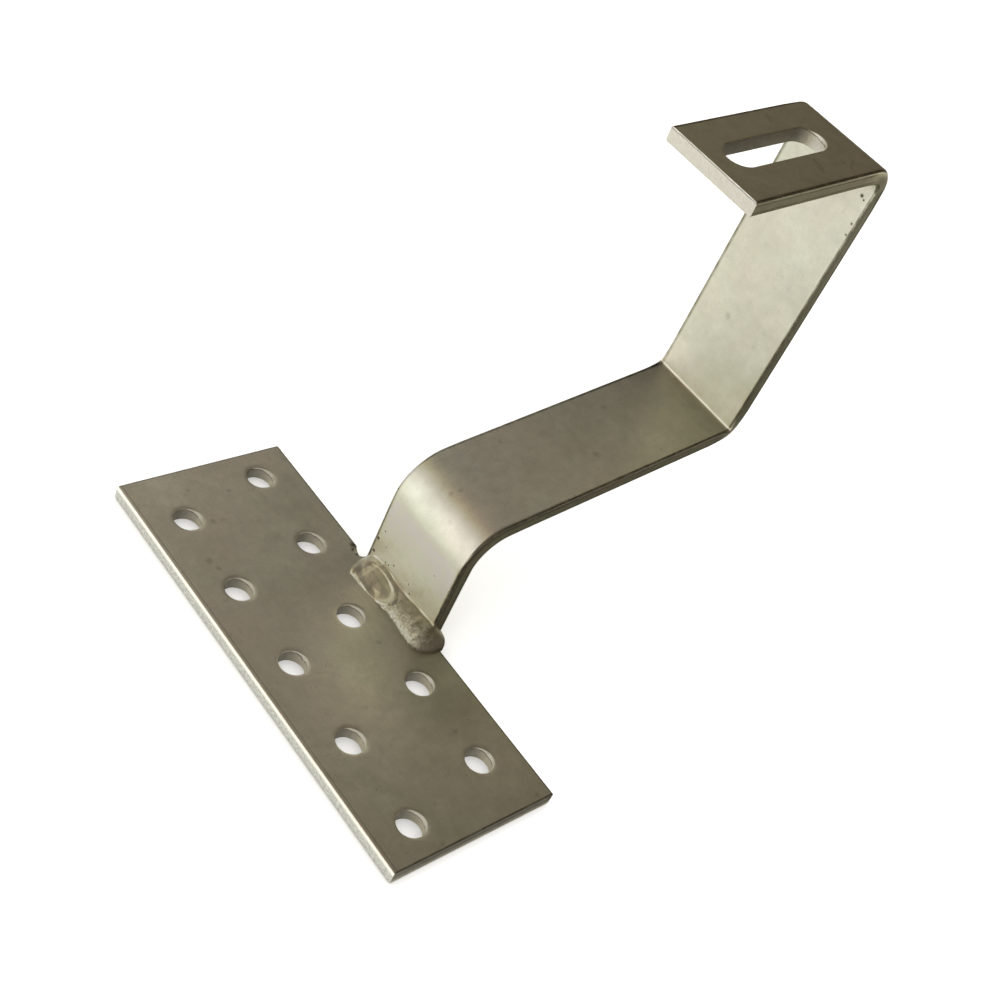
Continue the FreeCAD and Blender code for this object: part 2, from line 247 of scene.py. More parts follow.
def make_punch(centre):
    top = plate_high.z - DISH_FLOOR
    bpy.ops.mesh.primitive_cylinder_add(vertices=72, radius=HOLE_RADIUS, depth=BURNISHED_BAND,
                                        location=(centre.x, centre.y, top - BURNISHED_BAND / 2))
    punch = bpy.context.object
    place_in_mesh(punch)
    edit()
    pick("FACE", lambda face: face.normal.z > 0.9)
    radius, depth = HOLE_RADIUS, DISH_FLOOR
    for next_depth, flare in DISH:
        pull_cap(depth - next_depth, (HOLE_RADIUS + flare) / radius, centre)
        radius, depth = HOLE_RADIUS + flare, next_depth
    pull_cap(MM, 1.0, centre)
    band_foot = top - BURNISHED_BAND
    pick("FACE", lambda face: face.calc_center_median().z < band_foot + CLOSE)
    pull_cap(-TORN_STEP, TORN_FLARE, centre)
    pull_cap(plate_low.z - band_foot - MM, 1.0, centre)
    leave_edit()
    return punch


# %% Punch all ten
punches = [make_punch(centre) for centre in screw_holes()]
only(*punches)
bpy.ops.object.join()
cut(plate, bpy.context.object)
print("punched", len(punches), "holes")

# %% [markdown]
# ### A notch and a groove
#
# Past the bar's side the torch bit a small scoop out of the plate's top edge. Below, the edge that meets
# the bar is bevelled, so that a second run of weld can lie flush. The scoop is a squashed ball with a
# flatter, wider ball over it, which melts its rim round. The groove is a square prism laid on its corner.

# %% Cut the notch and the groove
NOTCH_PLACE = Vector((30.9, 25.4, 6.6)) * MM
NOTCH_BALLS = [Vector((3.9, 3.1, 4.2)) * MM, Vector((4.4, 3.6, 2.2)) * MM]
SEAM_BEVEL = 2.0 * MM
SEAM_OVERRUN = 1.5 * MM

for size in NOTCH_BALLS:
    bpy.ops.mesh.primitive_uv_sphere_add(segments=48, ring_count=32, location=NOTCH_PLACE, scale=size)
    ball = bpy.context.object
    place_in_mesh(ball)
    cut(plate, ball)

seam_foot = Vector((plate_high.x, BAR_MIDDLE, plate_low.z))
seam_side = math.sqrt(2) * SEAM_BEVEL
bpy.ops.mesh.primitive_cube_add(size=1, location=seam_foot, rotation=(0, math.radians(45), 0),
                                scale=(seam_side, BAR_WIDTH + 2 * SEAM_OVERRUN, seam_side))
groove = bpy.context.object
place_in_mesh(groove)
cut(plate, groove)
point_outwards(plate)

# %% [markdown]
# ## The hook bar
#
# A press folds the bar cold, three times. The cleanest way to model that is to draw the bar's section
# once, at the foot, and then to extrude it for each straight and spin it for each bend. The walk along the
# middle of the bar is worked out first, because the bar's box fixes where the riser and the flange lie.

# %% The route up the middle of the bar
BENDS = [
    # inside radius, heading after the bend, steps round it
    (11.0 * MM, ARM_SLOPE, 18),
    (1.0 * MM, math.pi / 2, 12),
    (4.0 * MM, math.pi + FLANGE_SLOPE, 14),
]


def direction(heading):
    return Vector((math.cos(heading), 0, math.sin(heading)))


def bend_centre(start, heading, turn, radius):
    side = math.copysign(math.pi / 2, turn)
    return start + radius * direction(heading + side)


def after_bend(start, heading, turn, radius):
    centre = bend_centre(start, heading, turn, radius)
    arm = start - centre
    return centre + Matrix.Rotation(-turn, 3, "Y") @ arm


# %% The four straight lengths
foot_start = Vector((bar_low.x + SHEET / 2, BAR_MIDDLE, 0))
riser_x = bar_high.x - SHEET / 2
flange_bend_z = bar_high.z - SHEET - BENDS[2][0]

arm_start = after_bend(foot_start + FOOT_LENGTH * direction(math.pi / 2), math.pi / 2,
                       ARM_SLOPE - math.pi / 2, BENDS[0][0] + SHEET / 2)
arm_bend_run = (BENDS[1][0] + SHEET / 2) * (1 - math.sin(ARM_SLOPE))
ARM_LENGTH = (riser_x - arm_bend_run - arm_start.x) / math.cos(ARM_SLOPE)
riser_start = after_bend(arm_start + ARM_LENGTH * direction(ARM_SLOPE), ARM_SLOPE,
                         math.pi / 2 - ARM_SLOPE, BENDS[1][0] + SHEET / 2)
RISER_LENGTH = flange_bend_z - riser_start.z
STRAIGHTS = [FOOT_LENGTH, ARM_LENGTH, RISER_LENGTH, FLANGE_LENGTH]
print("straights", [round(length / MM, 1) for length in STRAIGHTS], "mm")

# %% [markdown]
# ### Coordinates that follow the bar
#
# Much of what follows goes by the bar as it was before bending: how far along it a bend swells, and how
# its rolling marks run. So one function unbends a point: it finds the straight or the bend that the point
# belongs to and measures from there.

# %% Unbend a point
def unbend(point):
    """Across the bar, along the route and over the sheet's middle, in metres."""
    start, heading, run = foot_start.copy(), math.pi / 2, 0.0
    best = None
    for i, length in enumerate(STRAIGHTS):
        arm = point - start
        along, over = arm.dot(direction(heading)), arm.dot(direction(heading + math.pi / 2))
        miss = max(-along, along - length, 0) + max(abs(over) - SHEET, 0)
        if best is None or miss < best[0]:
            best = (miss, run + along, over)
        start += length * direction(heading)
        run += length
        if i < len(BENDS):
            inside, next_heading, steps = BENDS[i]
            turn, radius = next_heading - heading, inside + SHEET / 2
            centre = bend_centre(start, heading, turn, radius)
            side = math.copysign(1, turn)
            spoke = point - centre
            spoke.y = 0
            angle = side * (math.atan2(spoke.z, spoke.x) - heading) + math.pi / 2
            angle = (angle + math.pi) % (2 * math.pi) - math.pi
            over = side * (radius - spoke.length)
            miss = radius * max(-angle, angle - abs(turn), 0) + max(abs(over) - SHEET, 0)
            if miss < best[0]:
                best = (miss, run + radius * angle, over)
            start = after_bend(start, heading, turn, radius)
            run += radius * abs(turn)
            heading = next_heading
    return point.y - BAR_MIDDLE, best[1], best[2]


# %% [markdown]
# ### A section, extruded and spun
#
# The section is a small grid with its corners rounded, so that the bar has columns of faces to bulge.
# Extruding and spinning leave rings of vertices. Inside a bend the metal is squeezed and swells out
# sideways, and outside it is stretched and draws in, so each ring is widened or narrowed along Y by its
# depth in the sheet.

# %% Draw the section at the foot
bpy.ops.mesh.primitive_grid_add(x_subdivisions=4, y_subdivisions=14, size=1, location=foot_start)
bar = bpy.context.object
bar.name = "bent_hook_bar"
bar.scale = (SHEET, BAR_WIDTH, 1)
place_in_mesh(bar)
edit()
pick("VERT", lambda vert: len(vert.link_faces) == 1)
bpy.ops.mesh.bevel(offset=ROLLED_EDGE, segments=4, affect="VERTICES")
pick("FACE", lambda face: True)

# %% Extrude each straight and spin each bend
RINGS_BY_A_BEND = [1.2 * MM, 3.0 * MM, 6.5 * MM]


def ring_places(i):
    """Where a straight gets its rings: close together beside its bends, and one at its end."""
    length = STRAIGHTS[i]
    after_a_bend = RINGS_BY_A_BEND if i > 0 else []
    before_a_bend = [length - gap for gap in reversed(RINGS_BY_A_BEND)] if i < len(BENDS) else []
    return [*after_a_bend, *before_a_bend, length]


bar_end, heading = foot_start.copy(), math.pi / 2
swellings = []
run = 0.0
for i, length in enumerate(STRAIGHTS):
    done = 0.0
    for ring in ring_places(i):
        step = (ring - done) * direction(heading)
        bpy.ops.mesh.extrude_region_move(TRANSFORM_OT_translate={"value": step})
        done = ring
    bar_end += length * direction(heading)
    run += length
    if i < len(BENDS):
        inside, next_heading, steps = BENDS[i]
        turn, radius = next_heading - heading, inside + SHEET / 2
        bpy.ops.mesh.spin(steps=steps, angle=turn, axis=(0, 1, 0),
                          center=bend_centre(bar_end, heading, turn, radius))
        bend_run = radius * abs(turn)
        swellings.append((run + bend_run / 2, bend_run / 2 + 3.0 * MM, math.copysign(1, turn)))
        bar_end, heading = after_bend(bar_end, heading, turn, radius), next_heading
        run += bend_run
leave_edit()
print("the bar ends at", [round(value / MM, 1) for value in bar_end], "after", round(run / MM, 1), "mm")

# %% Let the bends bulge
SQUEEZED = [0.30 * MM, 0.85 * MM, 0.45 * MM]
STRETCHED = [0.45 * MM, 0.60 * MM, 0.50 * MM]

unbent_places = [unbend(vert.co) for vert in bar.data.vertices]
stations = sorted({round(along / MM, 1) for across, along, over in unbent_places})
depths = sorted({round(over / MM, 1) for across, along, over in unbent_places})


def at(station, depth):
    """A test for the vertices of one ring at one depth."""
    def test(vert):
        across, along, over = unbent_places[vert.index]
        return round(along / MM, 1) == station and round(over / MM, 1) == depth
    return test


edit()
for (middle, reach, side), squeezed, stretched in zip(swellings, SQUEEZED, STRETCHED):
    for station in stations:
        share = math.exp(-((station * MM - middle) / reach) ** 2)
        if share < 0.03:
            continue
        for depth in depths:
            inward = side * depth * MM / (SHEET / 2)
            bulge = share * inward * (squeezed if inward > 0 else stretched)
            if pick("VERT", at(station, depth)):
                bpy.ops.transform.resize(value=(1, 1 + 2 * bulge / BAR_WIDTH, 1), center_override=foot_start)
leave_edit()
print("swelled", len(swellings), "bends over", len(stations), "rings")

# %% [markdown]
# ### The slot for the rail's bolt
#
# The slot is cut square to the flange. Its cutter starts as a cylinder: half of its vertices are moved
# along, which stretches it to a slot, and then it is turned to the flange's slope.

# %% Cut the slot
SLOT_LENGTH = 40 * MM
SLOT_WIDTH = 11 * MM
slot_middle = Vector(mounts["rail_slot"]["pos_m"])

bpy.ops.mesh.primitive_cylinder_add(vertices=96, radius=SLOT_WIDTH / 2, depth=3 * SHEET, location=slot_middle)
slot_cutter = bpy.context.object
place_in_mesh(slot_cutter)
edit()
half_run = (SLOT_LENGTH - SLOT_WIDTH) / 2
for side in (-1, 1):
    pick("VERT", lambda vert: (vert.co.x - slot_middle.x) * side > CLOSE)
    bpy.ops.transform.translate(value=(side * half_run, 0, 0))
bpy.ops.mesh.select_all(action="SELECT")
bpy.ops.transform.rotate(value=FLANGE_SLOPE, orient_axis="Y", center_override=slot_middle)
leave_edit()
cut(bar, slot_cutter)

# %% Soften the slot's rims and the sheared ends
flange_along = -direction(heading)
SLOT_RIM = 0.35 * MM


def rims_the_slot(edge):
    """On the flange's top or underside, and on the slot's outline."""
    arm = middle_of(edge) - slot_middle
    run = max(abs(arm.dot(flange_along)) - half_run, 0)
    on_outline = abs(math.hypot(run, arm.y) - SLOT_WIDTH / 2) < CLOSE
    return on_outline and abs(abs(arm.dot(flange_up)) - SHEET / 2) < CLOSE


def beyond_end(point):
    """How far a point lies past the flange's free end."""
    return (point - bar_end).dot(-flange_along)


def rims_a_cut_end(edge):
    """Between an end face and the bar's sides."""
    middle = middle_of(edge)
    foot_faces = [face for face in edge.link_faces if face.normal.z < -0.9]
    free_faces = [face for face in edge.link_faces if face.normal.dot(flange_along) < -0.9]
    at_foot = len(foot_faces) == 1 and middle.z < MM
    return at_foot or (len(free_faces) == 1 and abs(beyond_end(middle)) < CLOSE)


edit()
bpy.ops.mesh.select_all(action="SELECT")
bpy.ops.mesh.normals_make_consistent(inside=False)
print("slot rim edges", pick("EDGE", rims_the_slot))
bpy.ops.mesh.bevel(offset=SLOT_RIM, segments=3, affect="EDGES")
print("cut end edges", pick("EDGE", rims_a_cut_end))
bpy.ops.mesh.bevel(offset=SHEARED_LIP, segments=2, affect="EDGES")
leave_edit()

# %% [markdown]
# ### Pits from the scale
#
# Hot rolling leaves scale on the bar. Where a flake was pressed in, pickling dissolves it and leaves a
# small pit. Two or three show on the foot, so they are scooped out with tiny balls. Smaller ones come
# with the material.

# %% Scoop the pits on the foot's inner face
PITS = [
    # along the bar, height and radius, in millimetres
    (22.4, 35.9, 0.50),
    (21.3, 15.1, 0.42),
    (21.0, 9.8, 0.40),
    (13.4, 10.9, 0.17),
    (3.3, 12.5, 0.15),
    (-3.9, 24.2, 0.16),
    (16.9, 15.3, 0.17),
]

balls = []
for y, z, radius in PITS:
    bpy.ops.mesh.primitive_ico_sphere_add(subdivisions=2, radius=radius * MM,
                                          location=Vector((bar_low.x / MM - 0.3 * radius, y, z)) * MM)
    balls.append(bpy.context.object)
    place_in_mesh(balls[-1])
only(*balls)
bpy.ops.object.join()
cut(bar, bpy.context.object)
print("scooped", len(PITS), "pits")

# %% Keep the unbent place of every vertex, for the rolling marks
unbent = bar.data.attributes.new("unbent", "FLOAT_VECTOR", "POINT")
for vert in bar.data.vertices:
    unbent.data[vert.index].vector = unbend(vert.co)
runs = [item.vector.y / MM for item in unbent.data]
print("the bar unbends to", round(min(runs), 1), "to", round(max(runs), 1), "mm")

# %% [markdown]
# ## The weld at the foot
#
# One run of weld metal fills the corner between the plate and the bar, and it was laid by hand: it swells
# and narrows, it ends in an oval pool where the arc stopped, and half of it froze with a rough, frosted
# skin. Metal that was liquid is easiest to make from overlapping soft forms. A rod with its rings scaled
# one by one gives the bead, squashed balls give its ends, a second rod gives the flush seam below, and
# a voxel remesh melts them into one skin. Its details are then raised and sunk with painted weights.

# %% The bead: a rod round the joint's corner
weld_low, weld_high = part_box("foot_weld")
CORNER = Vector((plate_high.x, 0, plate_high.z))
BEAD = [
    # place along the joint, reach over the plate, height up the bar, all in millimetres
    (21.6, 6.0, 1.6),
    (20.4, 8.3, 2.9),
    (18.0, 9.3, 3.8),
    (15.0, 9.5, 4.3),
    (11.5, 9.2, 4.1),
    (8.0, 8.6, 3.6),
    (4.0, 8.1, 3.4),
    (0.0, 7.8, 3.7),
    (-4.0, 8.0, 4.2),
    (-8.0, 8.5, 4.5),
    (-12.0, 8.6, 4.6),
    (-14.5, 8.0, 4.2),
    (-16.3, 6.8, 3.4),
    (-17.3, 5.2, 2.6),
    (-17.9, 3.6, 1.8),
    (-18.2, 1.8, 0.9),
]


def squash_ring(reach_ratio, height_ratio, y):
    """Scale the newest ring about the joint's corner."""
    middle = (CORNER.x, y, CORNER.z)
    bpy.ops.transform.resize(value=(reach_ratio, 1, height_ratio), center_override=middle)


first_y, reach, height = (value * MM for value in BEAD[0])
bpy.ops.mesh.primitive_circle_add(vertices=64, radius=1, fill_type="NGON", rotation=(math.radians(90), 0, 0),
                                  location=(CORNER.x, first_y, CORNER.z))
bead = bpy.context.object
bead.scale = (reach, height, 1)
place_in_mesh(bead)
edit()
bpy.ops.mesh.select_all(action="SELECT")
y = first_y
for station in BEAD[1:]:
    next_y, next_reach, next_height = (value * MM for value in station)
    bpy.ops.mesh.extrude_region_move(TRANSFORM_OT_translate={"value": (0, next_y - y, 0)})
    squash_ring(next_reach / reach, next_height / height, next_y)
    y, reach, height = next_y, next_reach, next_height
leave_edit()
print("bead with", len(BEAD), "rings")

# %% Trim the rod to what shows, with a little root in plate and bar
ROOT = 1.2 * MM


def trim(piece, place, outward):
    """Slice a piece and drop what lies past the slice."""
    only(piece)
    edit()
    bpy.ops.mesh.select_all(action="SELECT")
    bpy.ops.mesh.bisect(plane_co=place, plane_no=outward, use_fill=True, clear_outer=True)
    leave_edit()


trim(bead, CORNER + Vector((ROOT, 0, 0)), (1, 0, 0))
trim(bead, CORNER - Vector((0, 0, ROOT)), (0, 0, -1))

# %% [markdown]
# ### The ends, the seam below and two drops of spatter
#
# The near end runs round the bar's corner, down the plate's edge, and the far end only just turns it.

# %% Squashed balls for the ends
def blob(x, y, z, reach_x, reach_y, reach_z):
    """A squashed ball of metal, in millimetres."""
    bpy.ops.mesh.primitive_uv_sphere_add(segments=48, ring_count=24, location=Vector((x, y, z)) * MM,
                                         scale=Vector((reach_x, reach_y, reach_z)) * MM)
    ball = bpy.context.object
    place_in_mesh(ball)
    return ball


near_cap = blob(28.4, -12.4, 4.5, 5.0, 5.5, 4.4)
near_wrap = blob(31.2, -12.6, 4.0, 3.4, 4.8, 3.8)
far_cap = blob(25.8, 17.9, 5.0, 5.3, 3.9, 2.5)
far_wrap = blob(31.2, 22.6, 1.9, 2.6, 1.9, 2.0)
spatter = [blob(25.3, 15.8, 7.5, 0.45, 0.45, 0.45), blob(25.0, 14.3, 7.3, 0.35, 0.35, 0.35)]

# %% The flush seam under the plate
SEAM_RADIUS = 1.9 * MM
seam_start = Vector((plate_high.x, BAR_MIDDLE, plate_low.z))
bpy.ops.mesh.primitive_cylinder_add(vertices=48, radius=SEAM_RADIUS, depth=BAR_WIDTH + SEAM_OVERRUN,
                                    location=seam_start, rotation=(math.radians(90), 0, 0))
seam = bpy.context.object
place_in_mesh(seam)
trim(seam, plate_low, (0, 0, -1))

# %% Melt them together
VOXEL = 0.22 * MM

only(bead, near_cap, near_wrap, far_cap, far_wrap, seam, *spatter)
bpy.ops.object.join()
weld = bpy.context.object
weld.name = "foot_weld_bead"
apply_modifier(weld, "REMESH", mode="VOXEL", voxel_size=VOXEL)
apply_modifier(weld, "SMOOTH", factor=0.5, iterations=10)
print("melted weld has", len(weld.data.polygons), "faces")

# %% [markdown]
# ### Painted weights
#
# Weight painting says how strongly a modifier acts at each point. Here the weights are painted by small
# formulas of place: how far a point lies from the oval pool's rim, or whether it is in the frosted part.
# A Displace modifier then lifts or sinks the skin there.

# %% Helpers for painting and displacing
def paint(piece, name, weight_at):
    """Make a vertex group whose weight is a function of the place, in millimetres."""
    group = piece.vertex_groups.new(name=name)
    for vert in piece.data.vertices:
        weight = weight_at(*(vert.co / MM))
        if weight > 0.001:
            group.add([vert.index], min(weight, 1.0), "REPLACE")
    return name


def ramp(value, start, end):
    """0 before start, 1 after end, smooth between. It falls where end is before start."""
    share = min(max((value - start) / (end - start), 0.0), 1.0)
    return share * share * (3 - 2 * share)


def bump_shape(value, width):
    return math.exp(-(value / width) ** 2)


def raise_where(piece, group, height, texture=None, direction_of="NORMAL"):
    """Lift the painted part along its normals; a texture moves it both ways."""
    settings = {"texture": texture, "texture_coords": "LOCAL"} if texture else {}
    apply_modifier(piece, "DISPLACE", vertex_group=group, strength=height, direction=direction_of,
                   mid_level=0.5 if texture else 0.0, **settings)


# %% The oval pool, with a ridge on the bar's side
POOL_X, POOL_Y = 24.6, 11.3
POOL_REACH_X, POOL_REACH_Y = 3.9, 8.8


def from_pool(x, y):
    """1 on the pool's rim, less inside and more outside."""
    return math.hypot((x - POOL_X) / POOL_REACH_X, (y - POOL_Y) / POOL_REACH_Y)


def on_top(x, y, z):
    return ramp(z, 5.0, 5.5) * ramp(x, 30.1, 29.6)


def low_toe(x, y, z):
    """The pool spread out flat towards the plate."""
    return on_top(x, y, z) * ramp(x, 26.0, 22.5) * ramp(y, 1.5, 9.5) * ramp(y, 20.0, 17.0)


def pool_floor(x, y, z):
    return on_top(x, y, z) * ramp(from_pool(x, y), 1.04, 0.72) * ramp(x, 20.4, 22.4)


def pool_ridge(x, y, z):
    bar_side = ramp(x, 24.8, 27.0) * ramp(y, 3.0, 8.0)
    return on_top(x, y, z) * bump_shape(from_pool(x, y) - 1.02, 0.11) * bar_side


def pool_lip(x, y, z):
    return on_top(x, y, z) * bump_shape(from_pool(x, y) - 1.0, 0.07) * ramp(y, 9.0, 4.0)


def pool_moat(x, y, z):
    return on_top(x, y, z) * bump_shape(from_pool(x, y) - 1.16, 0.06) * ramp(y, 8.0, 4.5)


raise_where(weld, paint(weld, "low_toe", low_toe), -0.55 * MM, direction_of="Z")
for form, height in ((pool_floor, -0.50), (pool_ridge, 0.22), (pool_lip, 0.10), (pool_moat, -0.26)):
    raise_where(weld, paint(weld, form.__name__, form), height * MM)


# %% The frosted crust
def clouds(name, size, kind="CLOUDS"):
    """A procedural texture for displacing, with features of about this size."""
    texture = bpy.data.textures.new(name, kind)
    texture.noise_scale = size
    return texture


def frosted(x, y, z):
    """The strip along the plate's side of the bead, from the pool to the near end."""
    ragged_edge = 25.1 + 0.5 * math.sin(0.9 * y) + 0.3 * math.sin(2.3 * y + 1)
    plate_side = ramp(x, ragged_edge + 0.3, ragged_edge - 0.3)
    return on_top(x, y, z) * plate_side * ramp(y, 3.2, 2.0) * ramp(y, -16.5, -12.0)


frost_group = paint(weld, "frosted", frosted)
raise_where(weld, frost_group, 0.14 * MM)
raise_where(weld, frost_group, 0.34 * MM, clouds("frost crystals", 0.45 * MM))
raise_where(weld, paint(weld, "all_over", on_top), 0.36 * MM, clouds("hand-laid unevenness", 3.0 * MM))

# %% The metal washes up the bar's face in a small hollow curve
def bar_wash(x, y, z):
    foot = 28.9 + 0.2 * math.sin(0.8 * y)
    climb = min(max((x - foot) / (30.0 - foot), 0.0), 1.0) ** 2
    return on_face(x, y, z) * climb


def on_face(x, y, z):
    return ramp(z, 5.5, 6.5) * ramp(x, 30.9, 30.5) * ramp(y, -12.8, -11.8) * ramp(y, 22.8, 21.5)


raise_where(weld, paint(weld, "bar_wash", bar_wash), 0.8 * MM, direction_of="Z")
apply_modifier(weld, "SMOOTH", factor=0.35, iterations=1)
near_end = paint(weld, "near_end", lambda x, y, z: ramp(y, -12.0, -14.5))
apply_modifier(weld, "SMOOTH", vertex_group=near_end, factor=0.5, iterations=60)


# %% Where the acid left its marks, and where light and shade are painted, for the material
def filmed(x, y, z):
    """A darker band by the bar, with painted shade in the crease round the pool and on its plate-side rim."""
    band = ramp(x, 25.0, 26.2) * ramp(x, 30.0, 29.3) * ramp(y, 4.0, 1.0) * ramp(y, -17.5, -14.0)
    round_pool = bump_shape(from_pool(x, y) - 1.2, 0.10) * ramp(y, 10.0, 5.0) * ramp(x, 23.5, 25.0)
    plate_side = 0.9 * ramp(from_pool(x, y), 0.88, 1.0) * ramp(x, 26.0, 23.5) * ramp(y, 8.0, 12.0)
    return on_top(x, y, z) * max(band, round_pool, plate_side)


def paled(x, y, z):
    """The acid left the pool's floor pale."""
    return on_top(x, y, z) * ramp(from_pool(x, y), 1.0, 0.80)


def etched(x, y, z):
    """The crust, and a painted light patch in the crust's pale colour on the near end's side."""
    return max(frosted(x, y, z), 0.85 * ramp(y, -10.0, -12.5) * ramp(x, 29.5, 25.5))


# the frost weight also carries the painted light on the weld's near end
for name, share_at in (("frost", etched), ("film", filmed), ("pale", paled)):
    painted = weld.data.attributes.new(name, "FLOAT", "POINT")
    for vert in weld.data.vertices:
        painted.data[vert.index].value = share_at(*(vert.co / MM))
only(weld)
bpy.ops.object.shade_smooth()
weld_places = [vert.co for vert in weld.data.vertices]
for corner, packed, pick_of in (("low", weld_low, min), ("high", weld_high, max)):
    drawn = [pick_of(place[i] for place in weld_places) for i in range(3)]
    print("weld's", corner, "corner", [round(value / MM, 1) for value in drawn],
          "packed", [round(value / MM, 1) for value in packed])

# %% [markdown]
# ## Finishes
#
# All three pieces are stainless steel that has been pickled: an acid bath or paste takes off the mill's
# scale and the colours of welding, and leaves a dull, slightly pebbled grey with a warm cast. Three
# finishes cover it: the rolled faces, the faces that a tool cut, and the weld's own skin. Each is a
# metal, so its colour is the colour of its reflections.

# %% Helpers for materials
def linear(code):
    """A colour written as sRGB hex, as the linear values that shaders take."""
    values = [int(code[i:i + 2], 16) / 255 for i in (1, 3, 5)]
    curve = [value / 12.92 if value <= 0.04045 else ((value + 0.055) / 1.055) ** 2.4 for value in values]
    return (*curve, 1.0)


def fill(node, inputs):
    """Set or link a node's inputs, given by name or in their order. A node stands for its first output."""
    for name, value in inputs.items() if isinstance(inputs, dict) else enumerate(inputs):
        if isinstance(value, bpy.types.Node):
            value = value.outputs[0]
        if isinstance(value, bpy.types.NodeSocket):
            node.id_data.links.new(value, node.inputs[name])
        else:
            node.inputs[name].default_value = value
    return node


def node_adder(owner):
    """The function that adds a shader node to this material or world, with its settings and inputs."""
    def add(kind, inputs=(), **settings):
        node = owner.node_tree.nodes.new("ShaderNode" + kind)
        for name, value in settings.items():
            setattr(node, name, value)
        return fill(node, inputs)
    return add


def new_material(name, **values):
    """A material with constants on its shader's own sockets, its node adder and that shader."""
    material = bpy.data.materials.new(name)
    material.use_nodes = True
    shader = material.node_tree.nodes["Principled BSDF"]
    for socket, value in values.items():
        shader.inputs[socket].default_value = value
    return material, node_adder(material), shader


def relief(add, *layers):
    """Bumps one over another, each a height and a depth in millimetres. A negative depth sinks."""
    below = {}
    for height, depth in layers:
        bump = add("Bump", {"Height": height, "Distance": abs(depth) * MM, **below}, invert=depth < 0)
        below = {"Normal": bump}
    return bump


def set_stops(node, stops):
    """Give a colour ramp its stops: a place from 0 to 1 and a colour."""
    elements = node.color_ramp.elements
    while len(elements) < len(stops):
        elements.new(0.5)
    for element, (where, colour) in zip(elements, stops):
        element.position, element.color = where, colour


# %% [markdown]
# ### Pickled hot-rolled flat bar
#
# Hot-rolled, pickled stainless has layers of marks, and each has its own size: clouds of slightly
# different grey 15 mm across from uneven pickling, a mottle of 3 mm, smudges from handling, faint streaks
# along the rolling direction, a fine grain left by the acid, and pits. Thin broken lines of painted shade
# run along the rolled edges. The acid's grain is really about 0.05 mm, too fine to show, so it is drawn
# at 0.5 mm. The plate and the bar share the recipe and differ in where their coordinates come from and in
# their painted light and shade and wear.
#
# A Map Range node takes a value, the range that it comes from and the range that it goes to, in that
# order. Where the last two numbers are missing it goes from 0 to 1.

# %% Sizes and colours of the marks
CLOUD = 15 * MM
SMUDGE = 3.2 * MM
STREAK_WIDTH, STREAK_LENGTH = 0.55 * MM, 14 * MM
GRAIN = 0.5 * MM
PIT_SPACING = 5.5 * MM
MOTTLE = 3.4 * MM
MILL_WAVE = 7 * MM
RAGGEDNESS = 2.2 * MM  # how far a smudge's outline is pulled about
MARK_CORE = 0.35  # a mark is full out to this share of its radius

STEEL_PALE = linear("#DFE0CC")
STEEL_DULL = linear("#D5D5C0")
STEEL_WARM = linear("#DFDAC7")
STEEL_SMUDGED = linear("#AFAB96")
# the colour of pits, also used for painted shade
STEEL_PITTED = linear("#4A4738")


def marks_at(add, place, marks):
    """A factor that is 1 at each of some spots and falls to 0 at its radius, all in millimetres."""
    factor = None
    for *spot, radius in marks:
        away = add("VectorMath", (place, Vector(spot) * MM), operation="DISTANCE")
        mark = add("MapRange", (away.outputs["Value"], MARK_CORE * radius * MM, radius * MM, 1.0, 0.0))
        factor = add("Math", (factor, mark), operation="MAXIMUM") if factor else mark
    return factor


